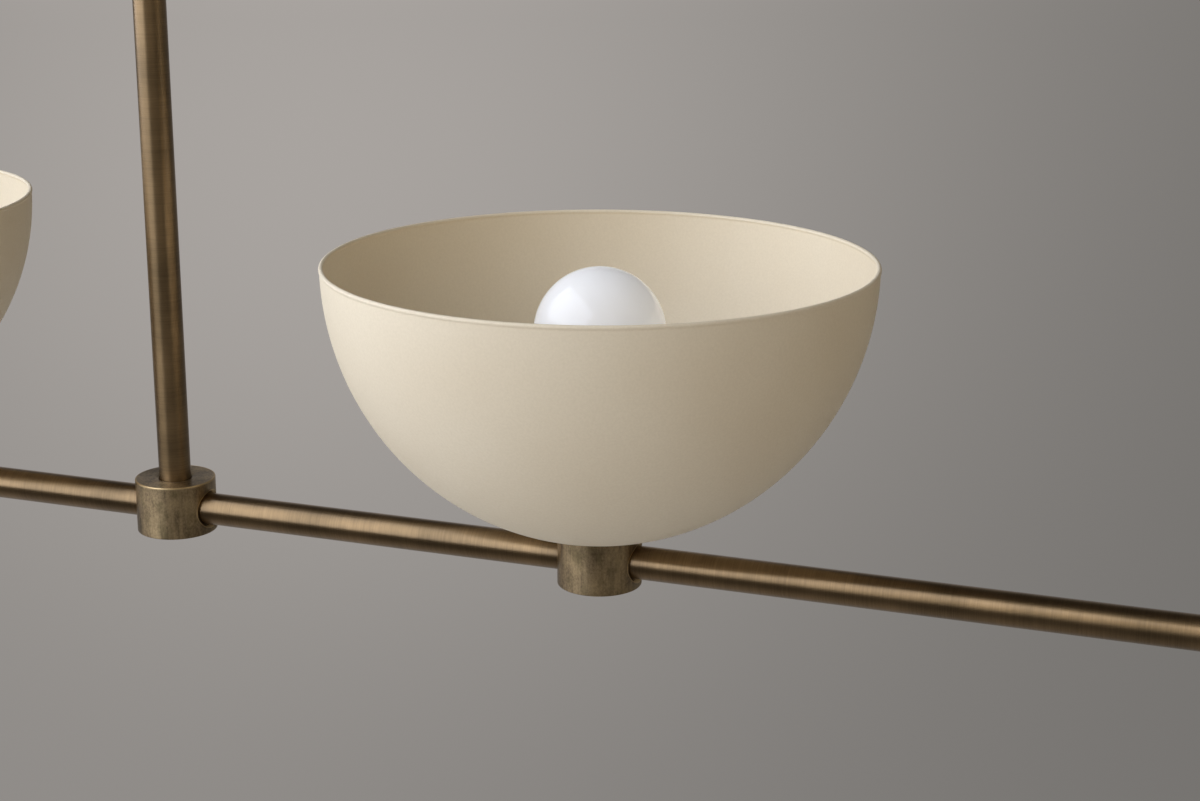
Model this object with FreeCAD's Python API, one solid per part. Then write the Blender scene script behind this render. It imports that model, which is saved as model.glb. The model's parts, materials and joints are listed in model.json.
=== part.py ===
"""Linear island pendant: four up-facing bowl shades on one straight bar, hung from a single stem.

Millimetres, +Z up. The origin is the middle of the ceiling plane. The bar runs along X.
Lights are numbered from -X to +X.
"""

import FreeCAD
import Part

import math
import os

from FreeCAD import Vector

# Bowl shade
SHADE_DIAMETER = 254.0
SHADE_AXIS_DEPTH = 130.0  # vertical half axis of the outer half ellipsoid
SHADE_WALL = 1.5
SHADE_SEAT_RADIUS = 20.5  # flat spun into the bottom
SHADE_RIM_ROUND = 0.6
SHADE_SPACING = 457.0
LIGHT_COUNT = 4

# Round brass tube of the bar and the stem
TUBE_DIAMETER = 15.9
TUBE_WALL = 1.2
STEM_LENGTH = 610.0
BUSHING_LENGTH = 10.0

# Turned hubs
HUB_DIAMETER = 40.0
HUB_HEIGHT = 27.0
HUB_AXIS_HEIGHT = 12.3  # bar axis above the hub's lower face
HUB_EDGE_ROUND = 0.5
HUB_CAVITY_RADIUS = 12.0
HUB_ROOF = 7.0
TUBE_SEAT_DEPTH = 5.0
STEM_SEAT_DEPTH = 3.0
PORT_FACE_MARGIN = 1.6  # flat ring milled into a hub's round side about a bar tube's port
STEM_DISH_RADIUS = 10.2  # shallow dished ring round the stem
STEM_DISH_DEPTH = 0.5
PLUG_THICKNESS = 3.0
PLUG_RECESS = 0.4
PLUG_SLOT_WIDTH = 1.4
PLUG_SLOT_DEPTH = 1.2
PLUG_SLOT_LENGTH = 14.0

# Threaded lamp nipple, shown at its outer thread radius
NIPPLE_RADIUS = 4.9
NIPPLE_BORE_RADIUS = 3.7
NIPPLE_CHAMFER = 0.5
NIPPLE_INTO_TUBE = 9.0
NIPPLE_INTO_CAVITY = 1.0

# Lampholder, measured upward from the hub's top face
WASHER_RADIUS = 17.0
WASHER_THICKNESS = 1.5
NUT_ACROSS_FLATS = 16.0
NUT_THICKNESS = 3.0
SOCKET_BASE_RADIUS = 18.0
SOCKET_NECK_RADIUS = 16.6
SOCKET_BASE_HEIGHT = 15.0
SOCKET_FLOOR = 4.0
SOCKET_CHAMBER_RADIUS = 11.5
SOCKET_CHAMBER_HEIGHT = 6.9
SOCKET_DECK = 2.0
SOCKET_ROUND = 1.2
SHELL_CLEARANCE = 0.3  # lamp thread to screw shell
SHELL_WALL = 0.4
SHELL_SEAT_CLEARANCE = 0.2
CONTACT_THICKNESS = 1.0
CONTACT_RADIUS = 6.0
RIVET_RADIUS = 1.5
RIVET_HEAD_RADIUS = 2.8
RIVET_HEAD_HEIGHT = 0.8
TERMINAL_SHANK_RADIUS = 1.6
TERMINAL_HEAD_RADIUS = 3.0
TERMINAL_HEAD_HEIGHT = 2.0
TERMINAL_INNER_END = 9.5
TERMINAL_POCKET_RADIUS = 4.2
TERMINAL_POCKET_DEPTH = 2.2

# Lamp, measured upward from its contact tip
BULB_LENGTH = 105.0
BULB_RADIUS = 30.5
BULB_WALL = 1.0
BULB_NECK_RADIUS = 14.0
BULB_NECK_HEIGHT = 27.0
BULB_STEM_RADIUS = 11.9
BULB_STEM_START = 10.0
LAMP_THREAD_CREST = 13.1
LAMP_THREAD_ROOT = 12.5
LAMP_THREAD_PITCH = 3.63
LAMP_THREAD_TURNS = 5
LAMP_CAP_INNER_RADIUS = 12.0
LAMP_CAP_BOTTOM = 4.0
LAMP_CAP_TOP = 24.5
LAMP_TIP_RADIUS = 4.7
LAMP_TIP_HEIGHT = 2.0
LAMP_TIP_ROUND = 0.8

# Canopy and the plate on the ceiling box
CANOPY_DIAMETER = 127.0
CANOPY_DEPTH = 38.0
CANOPY_WALL = 1.2
CANOPY_EDGE_ROUND = 2.5
PLATE_THICKNESS = 2.5
PLATE_ARM_WIDTH = 18.0
PLATE_SLOT_ARM = 52.0
PLATE_STUD_ARM = 41.0
PLATE_CORNER = 3.0
PLATE_WIRE_HOLE_RADIUS = 8.0
BOX_SCREW_SPACING = 79.4  # midway between the two usual ceiling box spacings
BOX_SLOT_LENGTH = 14.0
BOX_SLOT_RADIUS = 2.2
STUD_SPACING = 69.8
STUD_RADIUS = 2.08
STUD_CLEARANCE = 0.3
STUD_THREAD_CLEARANCE = 0.04
STUD_BELOW_CANOPY = 5.0
CAP_NUT_RADIUS = 5.5
CAP_NUT_HEIGHT = 8.0
CAP_NUT_BORE_DEPTH = 6.0
CAP_NUT_ROUND = 2.0
GROUND_SCREW_X = 22.0
GROUND_SCREW_RADIUS = 2.4
GROUND_HEAD_RADIUS = 4.5
GROUND_HEAD_HEIGHT = 3.0

# Ball joint that lets the stem hang plumb
BALL_RADIUS = 12.0
BALL_HALF_HEIGHT = 9.5
BALL_ABOVE_CANOPY_FACE = 7.0
SWIVEL_TILT_DEG = 15.0
LINER_THICKNESS = 1.0
LOWER_LINER_TOP = -1.0  # heights of the liners' faces, measured from the ball's centre
LOWER_LINER_BOTTOM = -6.5
UPPER_LINER_TOP = 7.0
LINER_MARGIN_DEG = 1.0  # kept between the liners when the upper one has swung all the way
BALL_CLEARANCE = 0.05
HOUSING_FLANGE_RADIUS = 18.0
HOUSING_NECK_RADIUS = 14.5
HOUSING_BELOW_CANOPY = 4.0
HOUSING_OPENING_RADIUS = 10.3
HOUSING_TOP = 8.0
RING_RADIUS = 15.5
RING_START = 0.5
RING_OPENING_RADIUS = 10.8
RING_NOTCH_WIDTH = 2.5
HOUSING_NUT_THICKNESS = 3.5
HOUSING_NUT_RADIUS = 18.0
STEM_TOP_BELOW_BALL = 17.0
NIPPLE_ABOVE_BALL = 11.0

# Insulated leads
LEAD_RADIUS = 0.8
LEAD_PITCH = 1.75
LEAD_BEND_MARGIN = 0.325  # kept between the top of a lead's bend and the roof of a hub's cavity
LEAD_TERMINAL_BEND = 2.5
LEAD_TOP_ABOVE_BALL = 12.0
LEAD_GAP_AT_SWIVEL = 0.8
CANOPY_LEAD_LEVEL = -12.0
CANOPY_LEAD_BEND = 5.5
CONNECTOR_START = 14.0
CONNECTOR_LENGTH = 17.0
CONNECTOR_MOUTH_RADIUS = 7.0
CONNECTOR_TIP_RADIUS = 4.5
CONNECTOR_WALL = 1.6
CONNECTOR_LEAD_DEPTH = 9.0
GROUND_LEAD_DEPTH = 15.0
GROUND_CONNECTOR_START = 13.0
GROUND_LEAD_BEND = 3.0

# Clearances between pieces that fit together
THREAD_CLEARANCE = 0.05
TUBE_CLEARANCE = 0.1
HOLE_CLEARANCE = 0.3

# Places that follow from the sizes above
UP = Vector(0, 0, 1)
ALONG = Vector(1, 0, 0)
ACROSS = Vector(0, 1, 0)
TUBE_RADIUS = TUBE_DIAMETER / 2
TUBE_BORE_RADIUS = TUBE_RADIUS - TUBE_WALL
HUB_RADIUS = HUB_DIAMETER / 2
SHADE_RADIUS = SHADE_DIAMETER / 2
SHADE_HEIGHT = SHADE_AXIS_DEPTH * math.sqrt(1 - (SHADE_SEAT_RADIUS / SHADE_RADIUS) ** 2)
BALL_Z = -CANOPY_DEPTH + BALL_ABOVE_CANOPY_FACE
STEM_TOP_Z = BALL_Z - STEM_TOP_BELOW_BALL
STEM_BOTTOM_Z = STEM_TOP_Z - STEM_LENGTH
HUB_TOP_Z = STEM_BOTTOM_Z + STEM_SEAT_DEPTH
HUB_BOTTOM_Z = HUB_TOP_Z - HUB_HEIGHT
BAR_Z = HUB_BOTTOM_Z + HUB_AXIS_HEIGHT
CAVITY_TOP_Z = HUB_TOP_Z - HUB_ROOF
TUBE_SEAT_X = HUB_RADIUS - TUBE_SEAT_DEPTH
LIGHT_X = [SHADE_SPACING * (number - (LIGHT_COUNT - 1) / 2) for number in range(LIGHT_COUNT)]
NIPPLE_HOLE_RADIUS = NIPPLE_RADIUS + THREAD_CLEARANCE
SOCKET_Z = HUB_TOP_Z + SHADE_WALL + WASHER_THICKNESS + NUT_THICKNESS
CHAMBER_Z = SOCKET_Z + SOCKET_FLOOR
DECK_Z = CHAMBER_Z + SOCKET_CHAMBER_HEIGHT
CONTACT_Z = DECK_Z + SOCKET_DECK
LAMP_Z = CONTACT_Z + CONTACT_THICKNESS
SOCKET_TOP_Z = LAMP_Z + LAMP_CAP_TOP
SHELL_INNER_RADIUS = LAMP_THREAD_CREST + SHELL_CLEARANCE
SHELL_OUTER_RADIUS = SHELL_INNER_RADIUS + SHELL_WALL
LINER_INNER_RADIUS = BALL_RADIUS + BALL_CLEARANCE
LINER_OUTER_RADIUS = LINER_INNER_RADIUS + LINER_THICKNESS
SEAT_SPHERE_RADIUS = LINER_OUTER_RADIUS + BALL_CLEARANCE
UPPER_LINER_BOTTOM = LINER_OUTER_RADIUS * math.sin(math.radians(SWIVEL_TILT_DEG + LINER_MARGIN_DEG))
TERMINAL_Z = CHAMBER_Z + SOCKET_CHAMBER_HEIGHT / 2
LEAD_INNER_BEND = CAVITY_TOP_Z - BAR_Z - LEAD_PITCH / 2 - LEAD_BEND_MARGIN
GROUND_LEAD_Z = -PLATE_THICKNESS - LEAD_RADIUS
GROUND_LOOP_RADIUS = GROUND_SCREW_RADIUS + LEAD_RADIUS + THREAD_CLEARANCE


def cylinder(radius, length, start, direction=UP):
    return Part.makeCylinder(radius, length, start, direction)


def ring(outer, inner, length, start, direction=UP):
    """A plain tube, washer or bush."""
    return cylinder(outer, length, start, direction).cut(cylinder(inner, length, start, direction))


def line(a, b):
    return Part.LineSegment(a, b).toShape()


def turned(edges, centre):
    """A solid of revolution about the vertical through centre, from a closed outline in its X-Z plane."""
    profile = Part.Face(Part.Wire(Part.__sortEdges__(edges)))
    solid = profile.revolve(Vector(0, 0, 0), UP, 360)
    solid.translate(centre)
    return solid


def outline(points):
    """Straight edges through (radius, height) points, closed."""
    corners = [Vector(r, 0, z) for r, z in points]
    return [line(a, b) for a, b in zip(corners, corners[1:] + corners[:1])]


def ellipse_arc(radius, depth, rim_height, end_height):
    """The quarter-ellipse side of a bowl from its rim down to end_height, and where it ends."""
    centre = Vector(0, 0, rim_height)
    rim = Vector(radius, 0, rim_height)
    bottom = Vector(0, 0, rim_height - depth)
    major, minor = (rim, bottom) if radius >= depth else (bottom, rim)
    ellipse = Part.Ellipse(major, minor, centre)
    end_radius = radius * math.sqrt(1 - ((rim_height - end_height) / depth) ** 2)
    end = Vector(end_radius, 0, end_height)
    first, last = sorted((ellipse.parameter(rim), ellipse.parameter(end)))
    if last - first > math.pi:
        first, last = last, first + 2 * math.pi
    return ellipse.toShape(first, last), end


def circles_at(shape, height):
    """The edges of a shape that lie level at a height."""
    tolerance = 1e-4
    return [e for e in shape.Edges if abs(e.BoundBox.ZMin - height) < tolerance and e.BoundBox.ZLength < tolerance]


def hexagon(across_flats, thickness, bore, start):
    corner = across_flats / math.sqrt(3)
    turns = [math.radians(60 * k) for k in range(7)]
    corners = [start + Vector(corner * math.cos(a), corner * math.sin(a), 0) for a in turns]
    prism = Part.Face(Part.makePolygon(corners)).extrude(UP * thickness)
    return prism.cut(cylinder(bore, thickness, start))


def group(solids):
    """Separate solids that share one node."""
    return Part.makeCompound(solids)


def routed_edges(points, bends):
    """Straight runs through the points, joined by tangent arcs of the given bend radii."""
    edges = []
    start = points[0]
    for before, corner, after, radius in zip(points, points[1:], points[2:], bends):
        into = (corner - before).normalize()
        out = (after - corner).normalize()
        turn = into.getAngle(out)
        reach = radius * math.tan(turn / 2)
        bisector = (out - into).normalize()
        arc_start = corner - into * reach
        arc_end = corner + out * reach
        middle = corner + bisector * (radius / math.cos(turn / 2) - radius)
        edges.append(line(start, arc_start))
        edges.append(Part.Arc(arc_start, middle, arc_end).toShape())
        start = arc_end
    edges.append(line(start, points[-1]))
    return edges


def lead(edges, start, direction):
    """An insulated wire along a route of tangent edges."""
    section = Part.Wire(Part.makeCircle(LEAD_RADIUS, start, direction))
    return Part.Wire(edges).makePipeShell([section], True, False)


def routed_lead(points, bends):
    return lead(routed_edges(points, bends), points[0], points[1] - points[0])


def nipple(length, start, direction=UP):
    """A short threaded tube with chamfered ends."""
    rod = cylinder(NIPPLE_RADIUS, length, start, direction)
    ends = [e for e in rod.Edges if isinstance(e.Curve, Part.Circle)]
    rod = rod.makeChamfer(NIPPLE_CHAMFER, ends)
    return rod.cut(cylinder(NIPPLE_BORE_RADIUS, length, start, direction))


def make_shade(x):
    """A spun bowl with a flat bottom, a centre hole and a softened rim."""
    hole = NIPPLE_RADIUS + HOLE_CLEARANCE
    outer, outer_end = ellipse_arc(SHADE_RADIUS, SHADE_AXIS_DEPTH, SHADE_HEIGHT, 0)
    inner_radius = SHADE_RADIUS - SHADE_WALL
    inner_depth = SHADE_AXIS_DEPTH - SHADE_WALL
    inner, inner_end = ellipse_arc(inner_radius, inner_depth, SHADE_HEIGHT, SHADE_WALL)
    edges = [
        line(Vector(hole, 0, 0), outer_end),
        outer,
        line(Vector(SHADE_RADIUS, 0, SHADE_HEIGHT), Vector(inner_radius, 0, SHADE_HEIGHT)),
        inner,
        line(inner_end, Vector(hole, 0, SHADE_WALL)),
        line(Vector(hole, 0, SHADE_WALL), Vector(hole, 0, 0)),
    ]
    bowl = turned(edges, Vector(x, 0, HUB_TOP_Z))
    return bowl.makeFillet(SHADE_RIM_ROUND, circles_at(bowl, HUB_TOP_Z + SHADE_HEIGHT))


def tube_port(seat, out):
    """The cutter for a tube's seat in a hub."""
    return cylinder(TUBE_RADIUS + TUBE_CLEARANCE, HUB_RADIUS, seat, out)


def milled_face(axis, out):
    """The cutter for the flat ring about a bar tube's port, just deep enough for a full ring."""
    radius = TUBE_RADIUS + PORT_FACE_MARGIN
    distance = math.sqrt(HUB_RADIUS**2 - radius**2)
    return cylinder(radius, HUB_RADIUS, axis + out * distance, out)


def make_hub(x, sides):
    """A turned hub with a wiring cavity open at the bottom, and a port for a tube on each given side."""
    base = Vector(x, 0, HUB_BOTTOM_Z)
    hub = cylinder(HUB_RADIUS, HUB_HEIGHT, base)
    hub = hub.makeFillet(HUB_EDGE_ROUND, circles_at(hub, HUB_BOTTOM_Z) + circles_at(hub, HUB_TOP_Z))
    hub = hub.cut(cylinder(HUB_CAVITY_RADIUS, HUB_HEIGHT - HUB_ROOF, base))
    axis = Vector(x, 0, BAR_Z)
    for side in sides:
        out = ALONG * side
        hub = hub.cut(milled_face(axis, out))
        hub = hub.cut(tube_port(axis + out * TUBE_SEAT_X, out))
        hub = hub.cut(cylinder(NIPPLE_HOLE_RADIUS, HUB_RADIUS, axis, out))
    return hub.cut(cylinder(NIPPLE_HOLE_RADIUS, HUB_ROOF, Vector(x, 0, CAVITY_TOP_Z)))


def make_centre_hub():
    """The middle hub: ports on both sides, and a port for the stem on top."""
    foot = Vector(0, 0, STEM_BOTTOM_Z)
    floor = Vector(0, 0, HUB_TOP_Z - STEM_DISH_DEPTH)
    dish = Part.makeCone(TUBE_RADIUS + TUBE_CLEARANCE, STEM_DISH_RADIUS, STEM_DISH_DEPTH, floor)
    return make_hub(0, (-1, 1)).cut(tube_port(foot, UP)).cut(dish)


def make_hub_plug(x):
    """The slotted disc that closes a hub's wiring cavity."""
    base = Vector(x, 0, HUB_BOTTOM_Z + PLUG_RECESS)
    disc = cylinder(HUB_CAVITY_RADIUS - THREAD_CLEARANCE, PLUG_THICKNESS, base)
    corner = base - Vector(PLUG_SLOT_LENGTH / 2, PLUG_SLOT_WIDTH / 2, 0)
    return disc.cut(Part.makeBox(PLUG_SLOT_LENGTH, PLUG_SLOT_WIDTH, PLUG_SLOT_DEPTH, corner))


def tube_span(start_x, end_x):
    """The two ends of a bar tube between two hub centres."""
    return start_x + TUBE_SEAT_X, end_x - TUBE_SEAT_X


def make_bar_tube(start_x, end_x):
    first, last = tube_span(start_x, end_x)
    return ring(TUBE_RADIUS, TUBE_BORE_RADIUS, last - first, Vector(first, 0, BAR_Z), ALONG)


def bar_spans():
    """Hub centres at both ends of each bar tube, by node name."""
    return {
        "tube_outer_left": (LIGHT_X[0], LIGHT_X[1]),
        "tube_inner_left": (LIGHT_X[1], 0),
        "tube_inner_right": (0, LIGHT_X[2]),
        "tube_outer_right": (LIGHT_X[2], LIGHT_X[3]),
    }


def tube_ends():
    """Each bar tube end: its centre, and the direction that leads into the tube."""
    ends = []
    for start_x, end_x in bar_spans().values():
        first, last = tube_span(start_x, end_x)
        ends.append((Vector(first, 0, BAR_Z), ALONG))
        ends.append((Vector(last, 0, BAR_Z), -ALONG))
    return ends


def make_tube_bushings():
    """Threaded bushes fixed inside both ends of every tube."""
    ends = tube_ends()
    ends.append((Vector(0, 0, STEM_BOTTOM_Z), UP))
    ends.append((Vector(0, 0, STEM_TOP_Z), -UP))
    outer = TUBE_BORE_RADIUS - THREAD_CLEARANCE
    return group([ring(outer, NIPPLE_HOLE_RADIUS, BUSHING_LENGTH, end, into) for end, into in ends])


def make_tube_nipples():
    """Threaded nipples that join every bar tube, and the stem's foot, to a hub."""
    wall = TUBE_SEAT_X - HUB_CAVITY_RADIUS
    length = NIPPLE_INTO_TUBE + wall + NIPPLE_INTO_CAVITY
    back = wall + NIPPLE_INTO_CAVITY
    nipples = [nipple(length, end - into * back, into) for end, into in tube_ends()]
    stem_foot = Vector(0, 0, CAVITY_TOP_Z)
    nipples.append(nipple(STEM_BOTTOM_Z - CAVITY_TOP_Z + NIPPLE_INTO_TUBE, stem_foot))
    return group(nipples)


def make_stem():
    return ring(TUBE_RADIUS, TUBE_BORE_RADIUS, STEM_LENGTH, Vector(0, 0, STEM_BOTTOM_Z))


def make_socket_nipple(x):
    """The nipple that rises from a hub through the shade into the lampholder."""
    return nipple(CHAMBER_Z - CAVITY_TOP_Z, Vector(x, 0, CAVITY_TOP_Z))


def make_shade_washer(x):
    hole = NIPPLE_RADIUS + HOLE_CLEARANCE
    return ring(WASHER_RADIUS, hole, WASHER_THICKNESS, Vector(x, 0, HUB_TOP_Z + SHADE_WALL))


def make_shade_nut(x):
    start = Vector(x, 0, HUB_TOP_Z + SHADE_WALL + WASHER_THICKNESS)
    return hexagon(NUT_ACROSS_FLATS, NUT_THICKNESS, NIPPLE_HOLE_RADIUS, start)


def make_socket_body(x):
    """A glazed porcelain lampholder: threaded floor, wiring chamber, contact deck and shell bore."""
    height = SOCKET_TOP_Z - SOCKET_Z
    body = turned(
        outline(
            [
                (NIPPLE_HOLE_RADIUS, 0),
                (SOCKET_BASE_RADIUS, 0),
                (SOCKET_BASE_RADIUS, SOCKET_BASE_HEIGHT),
                (SOCKET_NECK_RADIUS, SOCKET_BASE_HEIGHT + SOCKET_BASE_RADIUS - SOCKET_NECK_RADIUS),
                (SOCKET_NECK_RADIUS, height),
                (NIPPLE_HOLE_RADIUS, height),
            ]
        ),
        Vector(x, 0, SOCKET_Z),
    )
    top_edge = max(circles_at(body, SOCKET_TOP_Z), key=lambda edge: edge.Length)
    body = body.makeFillet(SOCKET_ROUND, [top_edge])
    body = body.fuse(ring(NIPPLE_HOLE_RADIUS, RIVET_RADIUS + THREAD_CLEARANCE, SOCKET_DECK, Vector(x, 0, DECK_Z)))
    bore = SHELL_OUTER_RADIUS + SHELL_SEAT_CLEARANCE
    body = body.cut(cylinder(bore, SOCKET_TOP_Z - CONTACT_Z, Vector(x, 0, CONTACT_Z)))
    body = body.cut(cylinder(SOCKET_CHAMBER_RADIUS, SOCKET_CHAMBER_HEIGHT, Vector(x, 0, CHAMBER_Z)))
    for side in (-1, 1):
        out = ACROSS * side
        axis = Vector(x, 0, TERMINAL_Z)
        pocket_start = SOCKET_BASE_RADIUS - TERMINAL_POCKET_DEPTH
        shank_hole = TERMINAL_SHANK_RADIUS + THREAD_CLEARANCE
        body = body.cut(cylinder(TERMINAL_POCKET_RADIUS, SOCKET_BASE_RADIUS, axis + out * pocket_start, out))
        body = body.cut(cylinder(shank_hole, SOCKET_BASE_RADIUS, axis, out))
    return body


def make_socket_shell(x):
    """The thin screw shell lining the lampholder's bore."""
    start = Vector(x, 0, CONTACT_Z)
    return ring(SHELL_OUTER_RADIUS, SHELL_INNER_RADIUS, SOCKET_TOP_Z - CONTACT_Z - SHELL_WALL, start)


def make_socket_contact(x):
    """The centre contact, riveted through the deck into the wiring chamber."""
    disc = cylinder(CONTACT_RADIUS, CONTACT_THICKNESS, Vector(x, 0, CONTACT_Z))
    shank = cylinder(RIVET_RADIUS, SOCKET_DECK, Vector(x, 0, DECK_Z))
    head = cylinder(RIVET_HEAD_RADIUS, RIVET_HEAD_HEIGHT, Vector(x, 0, DECK_Z - RIVET_HEAD_HEIGHT))
    return disc.fuse([shank, head]).removeSplitter()


def make_terminal_screws(x):
    """The two side screws that clamp a lampholder's leads."""
    seat = SOCKET_BASE_RADIUS - TERMINAL_POCKET_DEPTH
    screws = []
    for side in (-1, 1):
        out = ACROSS * side
        axis = Vector(x, 0, TERMINAL_Z)
        shank = cylinder(TERMINAL_SHANK_RADIUS, seat - TERMINAL_INNER_END, axis + out * TERMINAL_INNER_END, out)
        head = cylinder(TERMINAL_HEAD_RADIUS, TERMINAL_HEAD_HEIGHT, axis + out * seat, out)
        screws.append(shank.fuse(head).removeSplitter())
    return screws


def make_bulb_glass(x):
    """A standard pear-shaped opal envelope, open where its stem is cemented into the cap."""
    outer = bulb_outline(0)
    inner = bulb_outline(BULB_WALL)
    outer_side, outer_start, outer_top = outer
    inner_side, inner_start, inner_top = inner
    ends = [line(outer_top, inner_top), line(inner_start, outer_start)]
    return turned(outer_side + inner_side + ends, Vector(x, 0, LAMP_Z))


def bulb_outline(inset):
    """The side of the envelope, set in by a wall, with its first and last points."""
    centre = Vector(0, 0, BULB_LENGTH - BULB_RADIUS)
    radius = BULB_RADIUS - inset
    start = Vector(BULB_STEM_RADIUS - inset, 0, BULB_STEM_START)
    shoulder = Vector(BULB_STEM_RADIUS - inset, 0, LAMP_CAP_TOP)
    neck = Vector(BULB_NECK_RADIUS - inset, 0, BULB_NECK_HEIGHT)
    touch = centre + tangent_offset(neck - centre, radius)
    top = centre + UP * radius
    middle_angle = (math.atan2(touch.z - centre.z, touch.x) + math.pi / 2) / 2
    middle = centre + Vector(math.cos(middle_angle), 0, math.sin(middle_angle)) * radius
    dome = Part.Arc(touch, middle, top).toShape()
    return [line(start, shoulder), line(shoulder, neck), line(neck, touch), dome], start, top


def tangent_offset(outside, radius):
    """From a circle's centre to where a line from an outside point touches it, on the outer side."""
    distance = outside.Length
    towards = math.atan2(outside.z, outside.x)
    angle = towards + math.acos(radius / distance)
    return Vector(radius * math.cos(angle), 0, radius * math.sin(angle))


def make_bulb_base(x):
    """The lamp's metal cap, its rounded thread shown as rings."""
    middle = (LAMP_THREAD_CREST + LAMP_THREAD_ROOT) / 2
    thread_bottom = LAMP_CAP_BOTTOM + LAMP_THREAD_CREST - LAMP_THREAD_ROOT
    half = LAMP_THREAD_PITCH / 2
    start = Vector(middle, 0, thread_bottom)
    edges = [
        line(Vector(LAMP_CAP_INNER_RADIUS, 0, LAMP_CAP_BOTTOM), Vector(LAMP_THREAD_ROOT, 0, LAMP_CAP_BOTTOM)),
        line(Vector(LAMP_THREAD_ROOT, 0, LAMP_CAP_BOTTOM), start),
    ]
    for _ in range(LAMP_THREAD_TURNS):
        for peak in (LAMP_THREAD_CREST, LAMP_THREAD_ROOT):
            end = start + UP * half
            edges.append(Part.Arc(start, Vector(peak, 0, start.z + half / 2), end).toShape())
            start = end
    edges.append(line(start, Vector(middle, 0, LAMP_CAP_TOP)))
    edges.append(line(Vector(middle, 0, LAMP_CAP_TOP), Vector(LAMP_CAP_INNER_RADIUS, 0, LAMP_CAP_TOP)))
    top = Vector(LAMP_CAP_INNER_RADIUS, 0, LAMP_CAP_TOP)
    edges.append(line(top, Vector(LAMP_CAP_INNER_RADIUS, 0, LAMP_CAP_BOTTOM)))
    return turned(edges, Vector(x, 0, LAMP_Z))


def make_bulb_contact(x):
    """The lamp's insulating foot and its centre contact, as two solids."""
    foot = turned(
        outline(
            [
                (0, LAMP_TIP_HEIGHT),
                (LAMP_TIP_RADIUS, LAMP_TIP_HEIGHT),
                (LAMP_THREAD_ROOT, LAMP_CAP_BOTTOM),
                (0, LAMP_CAP_BOTTOM),
            ]
        ),
        Vector(x, 0, LAMP_Z),
    )
    tip = cylinder(LAMP_TIP_RADIUS, LAMP_TIP_HEIGHT, Vector(x, 0, LAMP_Z))
    tip = tip.makeFillet(LAMP_TIP_ROUND, circles_at(tip, LAMP_Z))
    return group([foot, tip])


def light_lead(x, across):
    """One lead from the ball joint, down the stem, along the bar and up into a lampholder."""
    side = 1 if x > 0 else -1
    outer = abs(x) > SHADE_SPACING
    drop = -LEAD_PITCH / 2 if outer else LEAD_PITCH / 2
    stem_x = side * (LEAD_PITCH / 2 if outer else 1.5 * LEAD_PITCH)
    bend = LEAD_INNER_BEND + (LEAD_PITCH if outer else 0)
    y = across * LEAD_PITCH / 2
    level = BAR_Z + drop
    points = [
        Vector(stem_x, y, BALL_Z + LEAD_TOP_ABOVE_BALL),
        Vector(stem_x, y, level),
        Vector(x, y, level),
        Vector(x, y, TERMINAL_Z),
        Vector(x, across * TERMINAL_INNER_END, TERMINAL_Z),
    ]
    return routed_lead(points, [bend, bend, LEAD_TERMINAL_BEND])


def canopy_lead(x, across):
    """One lead from above the ball joint into a connector inside the canopy."""
    y = across * LEAD_PITCH / 2
    points = [
        Vector(x, y, BALL_Z + LEAD_TOP_ABOVE_BALL + LEAD_GAP_AT_SWIVEL),
        Vector(x, y, CANOPY_LEAD_LEVEL),
        Vector(x, across * (CONNECTOR_START + CONNECTOR_LEAD_DEPTH), CANOPY_LEAD_LEVEL),
    ]
    return routed_lead(points, [CANOPY_LEAD_BEND])


def stem_lead_columns():
    """Where the four leads of one polarity stand across the stem's bore."""
    return [LEAD_PITCH * (column - (LIGHT_COUNT - 1) / 2) for column in range(LIGHT_COUNT)]


def make_connector(start, direction):
    """A twist-on connector: a tapered cap with a blind bore."""
    bore_tip = CONNECTOR_TIP_RADIUS - CONNECTOR_WALL
    bore_mouth = CONNECTOR_MOUTH_RADIUS - CONNECTOR_WALL
    cap = Part.makeCone(CONNECTOR_MOUTH_RADIUS, CONNECTOR_TIP_RADIUS, CONNECTOR_LENGTH, start, direction)
    bore = Part.makeCone(bore_mouth, bore_tip, CONNECTOR_LENGTH - CONNECTOR_WALL, start, direction)
    return cap.cut(bore)


def make_wire_connectors():
    """Line, neutral and ground connectors, lying round the ball joint."""
    start = Vector(0, CONNECTOR_START, CANOPY_LEAD_LEVEL)
    mirrored = Vector(0, -CONNECTOR_START, CANOPY_LEAD_LEVEL)
    ground_x = GROUND_SCREW_X + GROUND_LOOP_RADIUS
    ground = Vector(ground_x, GROUND_CONNECTOR_START, CANOPY_LEAD_LEVEL)
    return group(
        [
            make_connector(start, ACROSS),
            make_connector(mirrored, -ACROSS),
            make_connector(ground, ACROSS),
        ]
    )


def make_ground_lead():
    """The bonding lead: an open loop under its screw, then down into its connector."""
    centre = Vector(GROUND_SCREW_X, 0, GROUND_LEAD_Z)
    loop_start = centre + ACROSS * GROUND_LOOP_RADIUS
    loop_middle = centre + Vector(-1, -1, 0).normalize() * GROUND_LOOP_RADIUS
    loop_end = centre + ALONG * GROUND_LOOP_RADIUS
    loop = Part.Arc(loop_start, loop_middle, loop_end).toShape()
    fall = abs(CANOPY_LEAD_LEVEL - GROUND_LEAD_Z)
    clear_of_head = GROUND_HEAD_RADIUS + GROUND_LEAD_BEND
    points = [
        loop_end,
        loop_end + ACROSS * clear_of_head,
        loop_end + Vector(0, clear_of_head + fall / 2, -fall),
        Vector(loop_end.x, GROUND_CONNECTOR_START + GROUND_LEAD_DEPTH, CANOPY_LEAD_LEVEL),
    ]
    edges = [loop] + routed_edges(points, [GROUND_LEAD_BEND, GROUND_LEAD_BEND])
    return lead(edges, loop_start, -ALONG)


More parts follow.
